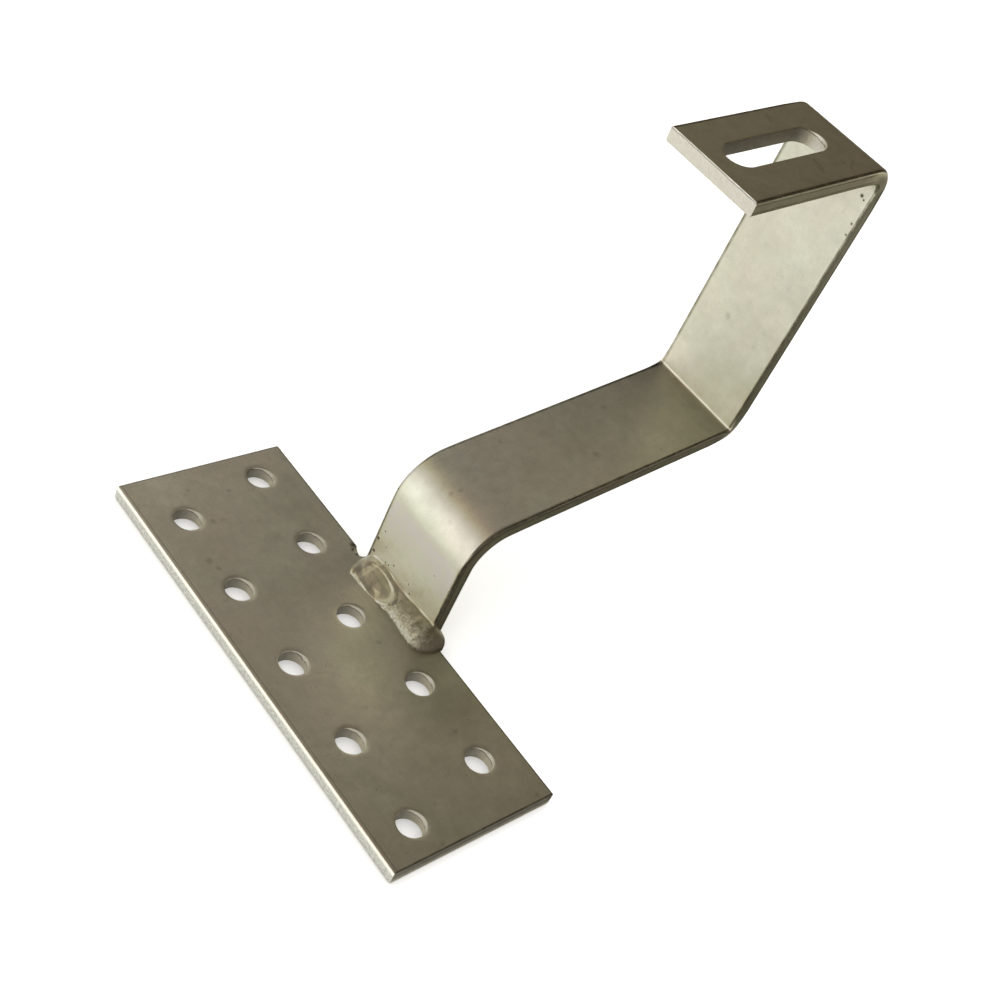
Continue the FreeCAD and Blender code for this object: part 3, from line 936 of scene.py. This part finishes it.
# %% The recipe
def pickled_rolled_steel(name, read_place, smudges, pits, grime, burnished, handled):
    """Rolled stainless with smudges, pits and spots of painted shade at given places.

    grime(add, place) is 1 along lines of painted shade, burnished(add, place) is 1 where the rolls
    polished an edge, and handled(add, place, colour) adds painted light and shade and wear.
    """
    material, add, shader = new_material(name, Metallic=1.0)
    place = read_place(add)

    clouds = add("TexNoise", {"Vector": place, "Scale": 1 / CLOUD, "Detail": 4.0, "Roughness": 0.6})
    cloudy = add("MapRange", (clouds, 0.38, 0.62))
    colour = add("MixRGB", (cloudy, STEEL_PALE, STEEL_DULL))
    hues = add("TexNoise", {"Vector": place, "W": 3.0, "Scale": 0.7 / CLOUD, "Detail": 3.0},
               noise_dimensions="4D")
    warmer = add("MapRange", (hues, 0.42, 0.60, 0, 0.75))
    colour = add("MixRGB", (warmer, colour, STEEL_WARM))
    mottle = add("TexNoise",
                 {"Vector": place, "Scale": 1 / MOTTLE, "Detail": 3.0, "Roughness": 0.65})
    mottled = add("MapRange", (mottle, 0.35, 0.65, 0.95, 1.045))
    colour = add("VectorMath", (colour, mottled), operation="MULTIPLY")

    along = add("Mapping", {"Vector": place, "Scale": (1 / STREAK_WIDTH, 1 / STREAK_LENGTH, 0.0)})
    streaks = add("TexNoise", {"Vector": along, "Scale": 1.0, "Detail": 3.0})
    streaky = add("MapRange", (streaks, 0.35, 0.75, 0.0, 0.10))
    colour = add("MixRGB", (streaky, colour, STEEL_SMUDGED))

    blots = add("TexNoise", {"Vector": place, "Scale": 1 / SMUDGE, "Detail": 3.0, "Roughness": 0.7})
    shift = add("VectorMath", (blots.outputs["Color"], (-0.5, -0.5, -0.5)), operation="ADD")
    ragged = add("VectorMath", {0: shift, "Scale": RAGGEDNESS}, operation="SCALE")
    ragged = add("VectorMath", (place, ragged), operation="ADD")
    blotted = add("MapRange", (blots, 0.60, 0.78, 0.0, 0.30))
    spots = add("Math", (marks_at(add, ragged, smudges), 0.45), operation="MULTIPLY")
    smudged = add("Math", (blotted, spots), operation="MAXIMUM")
    colour = add("MixRGB", (smudged, colour, STEEL_SMUDGED))

    cells = add("TexVoronoi", {"Vector": place, "Scale": 1 / PIT_SPACING})
    specks = add("MapRange", (cells.outputs["Distance"], 0.03, 0.05, 1.0, 0.0))
    some = add("SeparateColor", {"Color": cells.outputs["Color"]})
    few = add("Math", (some, 0.55), operation="GREATER_THAN")
    pitted = add("Math", (specks, few), operation="MULTIPLY")
    faint_pits = add("Math", (pitted, 0.5), operation="MULTIPLY")
    dirty = add("Math", (faint_pits, grime(add, place)), operation="MAXIMUM")
    # pits, and spots of painted shade such as the notch's
    if pits:
        dirty = add("Math", (dirty, marks_at(add, place, pits)), operation="MAXIMUM")
    colour = add("MixRGB", (dirty, colour, STEEL_PITTED))

    grain = add("TexNoise", {"Vector": place, "Scale": 1 / GRAIN, "Detail": 2.0, "Roughness": 0.6})
    grainy = add("MapRange", (grain, 0.3, 0.7, 0.94, 1.04))
    colour = add("VectorMath", (colour, grainy), operation="MULTIPLY")
    # painted light and shade, and wear
    colour = handled(add, place, colour)

    rough = add("MapRange", (clouds, 0.35, 0.65, 0.47, 0.53))
    rough = add("Math", (smudged, 0.12, rough), operation="MULTIPLY_ADD")
    rough = add("Math", (burnished(add, place), -0.22, rough), operation="MULTIPLY_ADD")

    waves = add("TexNoise", {"Vector": place, "Scale": 1 / MILL_WAVE, "Detail": 1.0})
    normal = relief(add, (waves, 0.03), (grain, 0.010), (pitted, -0.05))
    fill(shader, {"Base Color": colour, "Roughness": rough, "Normal": normal})
    return material


# %% A thin broken line of painted shade
def grime_line(add, value, where, width, strength):
    """1 along a line where a value, such as a coordinate, passes a place; all in millimetres."""
    off = add("Math", (value, where * MM), operation="SUBTRACT")
    off = add("Math", (off,), operation="ABSOLUTE")
    return add("MapRange", (off, 0.3 * width * MM, width * MM, strength, 0.0))


def broken(add, place, line, gap):
    """Break a line up into dashes of about this length, in millimetres."""
    noise = add("TexNoise", {"Vector": place, "Scale": 1 / (gap * MM), "Detail": 3.0})
    kept = add("MapRange", (noise, 0.36, 0.60, 0.70, 1.0))
    return add("Math", (line, kept), operation="MULTIPLY")


# %% The plate's own marks
def object_place(add):
    return add("TexCoord").outputs["Object"]


def grime_round_plate(add, place):
    """Painted shade lines inside the rolled edges, and along the sheared ends."""
    axes = add("SeparateXYZ", {"Vector": place})
    free_edge = grime_line(add, axes.outputs["X"], plate_low.x / MM + 1.35, 0.30, 0.30)
    bar_edge = grime_line(add, axes.outputs["X"], plate_high.x / MM - 0.45, 0.55, 0.75)
    line = add("Math", (free_edge, bar_edge), operation="MAXIMUM")
    end = add("Math", (axes.outputs["Y"],), operation="ABSOLUTE")
    along_end = grime_line(add, end, plate_high.y / MM - 0.22, 0.40, 0.80)
    top = add("MapRange", (axes.outputs["Z"], plate_high.z - 1.0 * MM, plate_high.z - 0.6 * MM))
    line = add("Math", (line, along_end), operation="MAXIMUM")
    line = add("Math", (line, top), operation="MULTIPLY")
    return broken(add, place, line, 4.0)


PLATE_TOP = plate_high.z / MM
PLATE_SMUDGES = [
    # place on the plate and radius, in millimetres
    (-19.1, 38.7, PLATE_TOP, 1.6),
    (-17.9, 34.9, PLATE_TOP, 1.2),
    (-9.2, 52.2, PLATE_TOP, 1.3),
    (15.3, -44.6, PLATE_TOP, 1.2),
    (-9.8, 66.3, PLATE_TOP, 1.1),
    (2.5, 62.2, PLATE_TOP, 1.0),
    (12.9, -7.9, PLATE_TOP, 1.2),
    (16.9, -74.8, PLATE_TOP, 1.0),
    (24.7, -73.2, PLATE_TOP, 1.2),
    (-11.8, -73.3, PLATE_TOP, 1.0),
]


def band(add, value, low, high, soft):
    """1 between two values and 0 outside them, in millimetres."""
    up = add("MapRange", (value, (low - soft) * MM, low * MM))
    down = add("MapRange", (value, high * MM, (high + soft) * MM, 1.0, 0.0))
    return add("Math", (up, down), operation="MULTIPLY")


def burnished_free_edge(add, place):
    """The upper corner of the plate's free long edge, polished by the rolls and given a painted highlight."""
    axes = add("SeparateXYZ", {"Vector": place})
    at_edge = band(add, axes.outputs["X"], plate_low.x / MM - 1.0, plate_low.x / MM + 0.45, 0.2)
    at_corner = band(add, axes.outputs["Z"], plate_high.z / MM - 1.15, plate_high.z / MM, 0.25)
    return add("Math", (at_edge, at_corner), operation="MULTIPLY")


# painted shade on the plate round the weld
HEAT_MIDDLE = Vector((24, -14, 5)) * MM
HEAT_SHAPE = (1.0, 0.6, 0.0)  # the painted shade spreads further along the joint than away from it
HEAT_REACH = 30 * MM


def plate_handling(add, place, colour):
    """Painted shade by the weld and the near end; the free edge is rubbed grey, with a painted highlight."""
    from_weld = add("VectorMath", (place, HEAT_MIDDLE), operation="SUBTRACT")
    flat = add("VectorMath", (from_weld, HEAT_SHAPE), operation="MULTIPLY")
    away = add("VectorMath", (flat,), operation="LENGTH")
    # painted shade round the weld
    dulled = add("MapRange", (away.outputs["Value"], 4 * MM, HEAT_REACH, 0.62, 1.0),
                 interpolation_type="SMOOTHSTEP")
    colour = add("VectorMath", (colour, dulled), operation="MULTIPLY")
    axes = add("SeparateXYZ", {"Vector": place})
    # painted shade, darker towards the plate's near end
    handled_end = add("MapRange", (axes.outputs["Y"], plate_low.y, -20 * MM, 0.90, 1.0))
    colour = add("VectorMath", (colour, handled_end), operation="MULTIPLY")
    side = add("MapRange", (axes.outputs["X"], plate_low.x + 0.12 * MM, plate_low.x + 0.35 * MM, 1.0, 0.0))
    rubs = add("Mapping", {"Vector": place, "Scale": (1 / MM, 1 / (1.1 * MM), 1 / (0.6 * MM))})
    rubbed = add("TexNoise", {"Vector": rubs, "Scale": 1.0, "Detail": 4.0, "Roughness": 0.7})
    grey = add("ValToRGB", {"Fac": rubbed})
    set_stops(grey, [(0.36, linear("#A9ADAA")), (0.62, linear("#E6E9E2"))])
    colour = add("MixRGB", (side, colour, grey.outputs["Color"]))
    # a painted highlight along the free edge's upper corner
    return add("MixRGB", (burnished_free_edge(add, place), colour, linear("#FDFBF0")))


# painted shade inside the notch at the weld's far end
NOTCH_SOOT = [
    (28.9, 28.3, 4.2, 2.0),
    (29.9, 25.4, 2.2, 1.6),
    (27.8, 26.6, 4.6, 1.3),
    (27.8, 24.7, 4.6, 1.2),
]
plate_steel = pickled_rolled_steel("pickled_hot_rolled_plate", object_place, PLATE_SMUDGES, NOTCH_SOOT,
                                   grime_round_plate, burnished_free_edge, plate_handling)


# %% The bar's own marks
ROUTE_LENGTH = 310 * MM
TONE_RANGE = 2.0
FACE_TONES = [
    # distance along the bar in millimetres, and a factor for red, green and blue; painted light and shade
    (0, 1.14, 1.15, 1.30),
    (13, 1.14, 1.17, 1.30),
    (20, 1.42, 1.49, 1.62),
    (31, 1.54, 1.62, 1.74),
    (37, 1.20, 1.23, 1.28),
    (41, 1.00, 1.01, 1.06),
    (80, 0.96, 0.96, 0.96),
    (118, 0.83, 0.84, 0.84),
    (136, 0.62, 0.63, 0.63),
    (144, 0.48, 0.49, 0.50),
    (149, 1.30, 1.28, 1.30),
    (165, 0.96, 0.97, 0.98),
    (225, 0.89, 0.91, 0.93),
    (300, 0.95, 0.96, 1.00),
]
# painted shade on the faces other than the shown one, from the last fold to the free end
FOLD_START, FOLD_END = 225 * MM, 248 * MM
FOLD_TONE = (0.80, 0.79, 0.70, 1)


def unbent_place(add):
    return add("Attribute", attribute_name="unbent").outputs["Vector"]


ROUTE_MIDDLE = BAR_MIDDLE / MM
BAR_SMUDGES = [
    # across the bar from its middle, distance along it, height over its middle, and radius, in millimetres
    (7.9 - ROUTE_MIDDLE, 46.0, 2.5, 1.0),
    (6.9 - ROUTE_MIDDLE, 48.5, 2.5, 0.9),
    (-6.0, 96.0, 2.5, 1.5),
    (9.0, 112.0, 2.5, 1.2),
    (4.0, 180.0, 2.5, 1.3),
    # scratches across the flange's top, which is the unbent bar's lower face
    (14.0, 271.7, -2.5, 0.9),
    (12.7, 272.0, -2.5, 1.0),
    (11.4, 272.4, -2.5, 0.8),
    (-7.3, 272.7, -2.5, 0.8),
    (-8.6, 273.1, -2.5, 1.0),
    (-9.9, 273.6, -2.5, 1.1),
    (-11.2, 274.1, -2.5, 1.0),
    (-12.5, 274.6, -2.5, 0.8),
    (-13.3, 262.8, -2.5, 1.1),
    (-12.4, 261.3, -2.5, 1.1),
    (-11.6, 259.8, -2.5, 1.0),
    (-10.9, 263.9, -2.5, 1.0),
]


def toned_along_route(add, place, colour):
    """Painted highlight on the foot and second bend, painted shade on the arm's end and past the fold."""
    axes = add("SeparateXYZ", {"Vector": place})
    share = add("Math", (axes.outputs["Y"], ROUTE_LENGTH), operation="DIVIDE")
    # painted light and shade on the shown face, by the distance along the bar
    tone = add("ValToRGB", {"Fac": share})
    set_stops(tone, [(where * MM / ROUTE_LENGTH, (*(factor / TONE_RANGE for factor in factors), 1))
                     for where, *factors in FACE_TONES])
    face = add("MapRange", (axes.outputs["Z"], SHEET / 2 - 0.35 * MM, SHEET / 2 - 0.1 * MM))
    factor = add("VectorMath", {0: tone.outputs["Color"], "Scale": TONE_RANGE}, operation="SCALE")
    fold = add("MapRange", (axes.outputs["Y"], FOLD_START, FOLD_END))
    elsewhere = add("MixRGB", (fold, (1, 1, 1, 1), FOLD_TONE))
    factor = add("MixRGB", (face, elsewhere, factor))
    return add("VectorMath", (colour, factor), operation="MULTIPLY")


def grime_along_bar(add, place):
    """Two broken lines of painted shade per rolled edge: one beside the broad face, one beside the narrow."""
    axes = add("SeparateXYZ", {"Vector": place})
    across = add("Math", (axes.outputs["X"],), operation="ABSOLUTE")
    over = add("Math", (axes.outputs["Z"],), operation="ABSOLUTE")
    broad = grime_line(add, across, BAR_WIDTH / MM / 2 - 0.45, 0.50, 0.80)
    far_side = grime_line(add, axes.outputs["X"], BAR_WIDTH / MM / 2 - 0.70, 0.85, 0.75)
    broad = add("Math", (broad, far_side), operation="MAXIMUM")
    on_broad = add("MapRange", (over, SHEET / 2 - 1.0 * MM, SHEET / 2 - 0.6 * MM))
    broad = add("Math", (broad, on_broad), operation="MULTIPLY")
    narrow = grime_line(add, over, SHEET / MM / 2 - 1.3, 0.30, 0.50)
    on_narrow = add("MapRange", (across, BAR_WIDTH / 2 - 0.4 * MM, BAR_WIDTH / 2 - 0.1 * MM))
    narrow = add("Math", (narrow, on_narrow), operation="MULTIPLY")
    line = add("Math", (broad, narrow), operation="MAXIMUM")
    return broken(add, place, line, 3.5)


def burnished_corners(add, place):
    across = add("SeparateXYZ", {"Vector": place}).outputs["X"]
    across = add("Math", (across,), operation="ABSOLUTE")
    return band(add, across, BAR_WIDTH / MM / 2 - 1.1, BAR_WIDTH / MM / 2 - 0.1, 0.1)


SHOWN_FACE = SHEET / MM / 2
BAR_MARKS = [
    # specks by the weld: across, along, over, and radius
    (7.8, 10.8, SHOWN_FACE, 0.42),
    (5.9, 12.6, SHOWN_FACE, 0.45),
    (9.4, 10.5, SHOWN_FACE, 0.40),
    (-2.1, 12.5, SHOWN_FACE, 0.35),
    (-3.9, 10.0, SHOWN_FACE, 0.40),
    (-7.1, 8.7, SHOWN_FACE, 0.35),
    (14.3, 19.7, SHOWN_FACE, 0.40),
    # pits along the riser's edge, below the flange
    (-14.1, 240.5, SHOWN_FACE, 0.85),
    (-15.3, 239.8, SHOWN_FACE, 0.50),
    (-16.0, 231.8, SHOWN_FACE, 0.55),
    (-16.3, 228.0, SHOWN_FACE, 0.50),
    # painted shade on the last bend's side; its middle stands off the bar, which keeps it faint
    (-21.2, 249.5, -1.2, 6.0),
    (-20.2, 242.5, -1.6, 4.5),
]
# the scooped pits still hold a little scale
BAR_PITS = [(y - ROUTE_MIDDLE, z, SHOWN_FACE, 1.8 * radius) for y, z, radius in PITS]
bar_steel = pickled_rolled_steel("pickled_hot_rolled_bar", unbent_place, BAR_SMUDGES, BAR_PITS + BAR_MARKS,
                                 grime_along_bar, burnished_corners, toned_along_route)


# %% [markdown]
# ### Cut faces
#
# Punching and shearing leave two bands on a cut face: the tool's burnished band, smooth and bright with
# fine scratches in its direction, and below it the torn band, rougher and greyer. A thin dark step parts
# them. In a hole, the walls that face one way get painted shade: their torn band reaches higher and is
# darker. The sheared faces get none. The bands go by height in the sheet, and the painted shade by the
# face's direction.

# %% Punched and sheared steel
# the direction that the walls with painted shade face, and how much higher their torn band reaches
LEAN = (0.64, -0.77, 0.0)
LEAN_RISE = 1.1


def cut_steel(name, read_place, torn_to, wander_by, leaning):
    """Stainless as a tool cuts it; the torn band lies below a height, in millimetres."""
    material, add, shader = new_material(name, Metallic=1.0)
    place = read_place(add)
    height = add("SeparateXYZ", {"Vector": place}).outputs["Z"]
    facing = add("TexCoord").outputs["Normal"]
    # painted shade on the walls that face one way: a higher torn band and a darker colour
    towards = add("VectorMath", (facing, LEAN), operation="DOT_PRODUCT")
    deep = add("MapRange", (towards.outputs["Value"], -0.60, 0.75, 0, 1.0 if leaning else 0.0))
    height = add("Math", (deep, -LEAN_RISE * MM, height), operation="MULTIPLY_ADD")
    wander = add("TexNoise", {"Vector": place, "Scale": 1 / (3.0 * MM), "Detail": 3.0})
    height = add("Math", (wander, wander_by * MM, height), operation="MULTIPLY_ADD")
    torn_to += wander_by / 2 - 0.45
    torn = add("MapRange", (height, (torn_to + 0.3) * MM, (torn_to + 0.6) * MM, 1.0, 0.0))
    step_up = add("MapRange", (height, (torn_to + 0.55) * MM, (torn_to + 1.0) * MM, 1.0, 0.0))
    step = add("Math", (step_up, torn), operation="SUBTRACT")

    grit = add("TexNoise", {"Vector": place, "Scale": 1 / (0.6 * MM), "Detail": 4.0, "Roughness": 0.7})
    drawn = add("Mapping", {"Vector": place, "Scale": (1 / (0.35 * MM), 1 / (0.35 * MM), 1 / (5 * MM))})
    scratches = add("TexNoise", {"Vector": drawn, "Scale": 1.0, "Detail": 2.0})
    bright = add("MixRGB", (scratches, linear("#F4F3EA"), linear("#DAD8CC")))
    grey = add("MixRGB", (grit, linear("#BDBAAC"), linear("#F0EFE6")))
    colour = add("MixRGB", (torn, bright, grey))
    colour = add("MixRGB", (step, colour, linear("#5E594D")))
    # painted shade
    dirt = add("Math", (torn, 0.35, 0.40), operation="MULTIPLY_ADD")
    dirt = add("Math", (dirt, deep), operation="MULTIPLY")
    colour = add("MixRGB", (dirt, colour, linear("#6F6A60")))
    rough = add("MapRange", (torn, 0, 1, 0.40, 0.58))
    torn_grit = add("Math", (grit, torn), operation="MULTIPLY")
    normal = relief(add, (scratches, 0.012), (torn_grit, 0.16))
    fill(shader, {"Base Color": colour, "Roughness": rough, "Normal": normal})
    return material


BAND_FOOT = (plate_high.z - DISH_FLOOR - BURNISHED_BAND) / MM
punched_plate = cut_steel("punched_plate_steel", object_place, BAND_FOOT, 1.8, True)
sheared_plate = cut_steel("sheared_plate_steel", object_place, BAND_FOOT, 1.0, False)


def unbent_place_from_above(add):
    """The flange is folded over, so its upper face is the unbent bar's lower one."""
    return add("VectorMath", (unbent_place(add), (1.0, 1.0, -1.0)), operation="MULTIPLY")


punched_bar = cut_steel("punched_bar_steel", unbent_place_from_above, 1.2, 1.8, True)
sheared_bar = cut_steel("sheared_bar_steel", unbent_place_from_above, 1.9, 0.7, False)

# %% [markdown]
# ### Weld metal
#
# The pool froze smooth. On the plate's side a crust of fine crystals formed, and the pickling acid etched
# it white and rough. Beside the bar the weld is darker. Painted shade darkens the crease round the pool and
# its rim on the plate's side, and a painted light patch in the crust's colour lightens the near end.
# Painted weights say where each lies.

# %% Pickled weld metal
# painted shade on the weld beside the notch
WELD_SOOT = [(28.6, 24.0, 4.8, 1.7), (30.6, 24.2, 4.9, 2.1), (32.0, 23.9, 4.4, 2.0)]


def pickled_weld_metal(name):
    material, add, shader = new_material(name, Metallic=1.0)
    place = object_place(add)
    frosty = add("Attribute", attribute_name="frost").outputs["Fac"]
    filmed = add("Attribute", attribute_name="film").outputs["Fac"]
    paled = add("Attribute", attribute_name="pale").outputs["Fac"]
    crystals = add("TexVoronoi", {"Vector": place, "Scale": 1 / (0.8 * MM)})
    mottle = add("TexNoise", {"Vector": place, "Scale": 1 / (1.6 * MM), "Detail": 4.0, "Roughness": 0.65})
    speckle = add("TexNoise", {"Vector": place, "Scale": 1 / (0.35 * MM), "Detail": 2.0})
    smooth = add("MixRGB", (mottle, linear("#D5D5C3"), linear("#B5B29F")))
    patches = add("MapRange", (mottle, 0.40, 0.60, 1.0, 0.55))
    # a darker band beside the bar, and painted shade round the pool
    filmed = add("Math", (filmed, patches), operation="MULTIPLY")
    smooth = add("MixRGB", (filmed, smooth, linear("#A19D87")))
    smooth = add("MixRGB", (paled, smooth, linear("#D6D5BF")))
    etched = add("MixRGB", (crystals.outputs["Distance"], linear("#F6F6E8"), linear("#9E9B86")))
    patchy = add("MapRange", (mottle, 0.42, 0.56))
    # the crust, and the painted light patch on the near end
    frosted_part = add("Math", (frosty, patchy), operation="MULTIPLY")
    colour = add("MixRGB", (frosted_part, smooth, etched))
    # painted shade beside the notch
    colour = add("MixRGB", (marks_at(add, place, WELD_SOOT), colour, STEEL_PITTED))
    rough = add("MapRange", (frosty, 0, 1, 0.43, 0.60))
    normal = relief(add, (mottle, 0.10), (speckle, 0.04))
    fill(shader, {"Base Color": colour, "Roughness": rough, "Normal": normal})
    return material


weld_metal = pickled_weld_metal("pickled_weld_metal")

# %% [markdown]
# ## Dress the pieces
#
# Each piece gets its rolled finish all over, and then the faces that a tool cut are picked by their
# place and direction and get the cut finish.

# %% Tests for cut faces
WALL_SLACK = MM / 5


def in_a_hole(face):
    """On the wall of a screw hole, below its rounded rim."""
    middle = face.calc_center_median()
    reach = HOLE_RADIUS * TORN_FLARE + WALL_SLACK
    near_wall = any(math.hypot(middle.x - centre.x, middle.y - centre.y) < reach
                    for centre in screw_holes())
    return near_wall and abs(face.normal.z) < 0.6


def on_a_plate_end(face):
    return abs(face.normal.y) > 0.9 and abs(abs(face.calc_center_median().y) - plate_high.y) < CLOSE


def in_the_slot(face):
    arm = face.calc_center_median() - slot_middle
    run = max(abs(arm.dot(flange_along)) - half_run, 0)
    near_wall = abs(math.hypot(run, arm.y) - SLOT_WIDTH / 2) < WALL_SLACK
    return near_wall and abs(face.normal.dot(flange_up)) < 0.6


def on_a_bar_end(face):
    middle = face.calc_center_median()
    at_foot = face.normal.z < -0.9 and middle.z < MM
    return at_foot or (face.normal.dot(flange_along) < -0.9 and abs(beyond_end(middle)) < CLOSE)


# %% Give every face its finish
def dress(piece, rolled, cuts=()):
    """One finish all over, and then others on the faces that pass their tests."""
    piece.data.materials.clear()
    piece.data.materials.append(rolled)
    for finish, is_cut in cuts:
        piece.data.materials.append(finish)
        only(piece)
        edit()
        found = pick("FACE", is_cut)
        piece.active_material_index = len(piece.data.materials) - 1
        bpy.ops.object.material_slot_assign()
        leave_edit()
        print(piece.name, "has", found, "faces of", finish.name)


dress(plate, plate_steel, [(punched_plate, in_a_hole), (sheared_plate, on_a_plate_end)])
dress(bar, bar_steel, [(punched_bar, in_the_slot), (sheared_bar, on_a_bar_end)])
dress(weld, weld_metal)

smooth_rolled_steel(plate)
smooth_rolled_steel(bar)
stand_for(plate, "base_plate")
stand_for(bar, "hook_bar")
stand_for(weld, "foot_weld")

# %% [markdown]
# ## The studio
#
# The hook lies on matt white paper. Paper is only bright where it is lit evenly from a wide source, so a
# wide ceiling box lights it. Metal is different: it shows what it reflects. A long low window on the -X
# side, with a warm lamp above it, fills the faces that look that way, and a fill stands on the +Y side. A
# dim warm room keeps the upper faces dark, and cards laid beside the hook set what the lower faces mirror.

# %% Matt paper floor
def matt_paper(name, code):
    """Uncoated paper: no gloss, with a faint mottle of its fibres."""
    material, add, shader = new_material(name, Roughness=0.95)
    shader.inputs["Specular IOR Level"].default_value = 0.1
    place = add("TexCoord").outputs["Object"]
    # fibres clump at about 1 mm, too fine to show from here, so they are drawn at 6 mm
    fibres = add("TexNoise", {"Vector": place, "Scale": 1 / (6 * MM), "Detail": 3.0})
    tone = add("MapRange", (fibres, 0, 1, 0.985, 1.0))
    colour = add("VectorMath", (linear(code)[:3], tone), operation="MULTIPLY")
    fill(shader, {"Base Color": colour})
    return material


bpy.ops.mesh.primitive_plane_add(size=6, location=(0, 0, plate_low.z - CLOSE))
floor = bpy.context.object
floor.name = "studio_floor"
floor.data.materials.append(matt_paper("matt_white_paper", "#F6F6F4"))


# %% [markdown]
# ### Cards
#
# A studio hides cards just outside the view to choose what metal mirrors. These lie flat on the floor and
# only reflections see them: a warm pale one under all, and dark ones on the side of the bar's narrow faces.

# %% Lay the cards
def lay_card(name, code, low, high, lift):
    """A flat card between two corners, seen only by reflections."""
    bpy.ops.mesh.primitive_plane_add(size=1,
                                     location=((low[0] + high[0]) / 2, (low[1] + high[1]) / 2,
                                               plate_low.z - lift))
    card = bpy.context.object
    card.name = name
    card.scale = (high[0] - low[0], high[1] - low[1], 1)
    place_in_mesh(card)
    card.data.materials.append(matt_paper(name + "_paper", code))
    card.visible_camera = False
    card.visible_diffuse = False
    card.visible_shadow = False


DARK_CARD = "#3B3830"
lay_card("warm_card", "#D8D5CC", (-3, -3), (3, 3), 0.08 * MM)
lay_card("card_beside_bar", DARK_CARD, (plate_high.x + MM, -0.6), (0.7, bar_low.y), 0.05 * MM)
lay_card("card_beside_plate_end", DARK_CARD, (plate_low.x, -0.6), (plate_high.x + MM, plate_low.y - MM),
         0.05 * MM)


# %% Lights
def softbox(name, place, aim, size_x, size_y, watts, lights_metal, lights_paper, code="#FFFFFF"):
    """A rectangular softbox that lights the metal's reflections, the paper, or both."""
    data = bpy.data.lights.new(name, "AREA")
    data.shape = "RECTANGLE"
    data.size, data.size_y = size_x, size_y
    data.energy = watts
    data.color = linear(code)[:3]
    lamp = bpy.data.objects.new(name, data)
    bpy.context.scene.collection.objects.link(lamp)
    lamp.location = place
    lamp.rotation_mode = "QUATERNION"
    lamp.rotation_quaternion = (Vector(aim) - Vector(place)).to_track_quat("-Z", "Y")
    lamp.visible_camera = False
    lamp.visible_glossy = lights_metal
    lamp.visible_diffuse = lights_paper


AT_HOOK = (0.05, 0.0, 0.08)

softbox("window", (-1.35, 0.88, 0.38), AT_HOOK, 2.6, 0.8, 10.7, True, False)
softbox("warm_lamp", (-1.15, 0.75, 1.05), AT_HOOK, 2.4, 0.7, 2.4, True, False, "#FFE3B4")
softbox("side_fill", (0.45, 1.9, 1.35), AT_HOOK, 2.0, 1.8, 5.0, True, False)
softbox("ceiling", (0.0, 0.0, 1.6), (0.0, 0.0, 0.0), 7.0, 7.0, 270, False, True)

# %% [markdown]
# ### The room
#
# The room that reflections see is dim and warm above and a little lighter near the horizon, as a room
# with pale walls is. Where the camera looks past the floor it sees plain white.

# %% A dim, warm room
world = bpy.data.worlds.new("studio_room")
bpy.context.scene.world = world
world.use_nodes = True
add = node_adder(world)
sky = add("TexCoord").outputs["Generated"]
rise = add("SeparateXYZ", {"Vector": sky}).outputs["Z"]
room = add("ValToRGB", {"Fac": rise})
set_stops(room, [(0.0, (0.105, 0.086, 0.071, 1)), (0.35, (0.134, 0.109, 0.090, 1)),
                 (1.0, (0.120, 0.097, 0.080, 1))])
seen = add("LightPath").outputs["Is Camera Ray"]
backdrop = add("MixRGB", (seen, room.outputs["Color"], (1, 1, 1, 1)))
fill(world.node_tree.nodes["Background"], {"Color": backdrop})

# %% [markdown]
# ### The camera
#
# The camera looks down at the hook from the side of the plate's free edge, rolled so that the plate lies
# across the lower left corner. Its film curve is a camera's, not a ruler's: it lifts the middle tones.

# %% Place the camera
LENS = 54.65
SENSOR = 36
AZIMUTH = math.radians(-57.07)
ELEVATION = math.radians(39.44)
ROLL = math.radians(26.82)
AIM = Vector((77.06, 17.83, 20.0)) * MM
DISTANCE = 499.16 * MM

camera_data = bpy.data.cameras.new("camera")
camera_data.lens = LENS
camera_data.sensor_width = SENSOR
camera = bpy.data.objects.new("camera", camera_data)
bpy.context.scene.collection.objects.link(camera)
bpy.context.scene.camera = camera
back = Vector((math.sin(AZIMUTH) * math.cos(ELEVATION), -math.cos(AZIMUTH) * math.cos(ELEVATION),
               math.sin(ELEVATION)))
camera.rotation_mode = "QUATERNION"
camera.rotation_quaternion = (-back).to_track_quat("-Z", "Y") @ Matrix.Rotation(ROLL, 3, "Z").to_quaternion()
camera.location = AIM + back * DISTANCE
print("camera at", [round(value, 3) for value in camera.location])

# %% Set the film's curve
FILM_CURVE = [(0.0, 0.0), (0.08, 0.095), (0.16, 0.185), (0.30, 0.37), (0.50, 0.55), (0.75, 0.77), (1.0, 1.0)]

view = bpy.context.scene.view_settings
view.view_transform = "Standard"
view.use_curve_mapping = True
curve = view.curve_mapping.curves[3]
while len(curve.points) < len(FILM_CURVE):
    curve.points.new(0.5, 0.5)
for point, (dark, light) in zip(curve.points, FILM_CURVE):
    point.location = (dark, light)
view.curve_mapping.update()
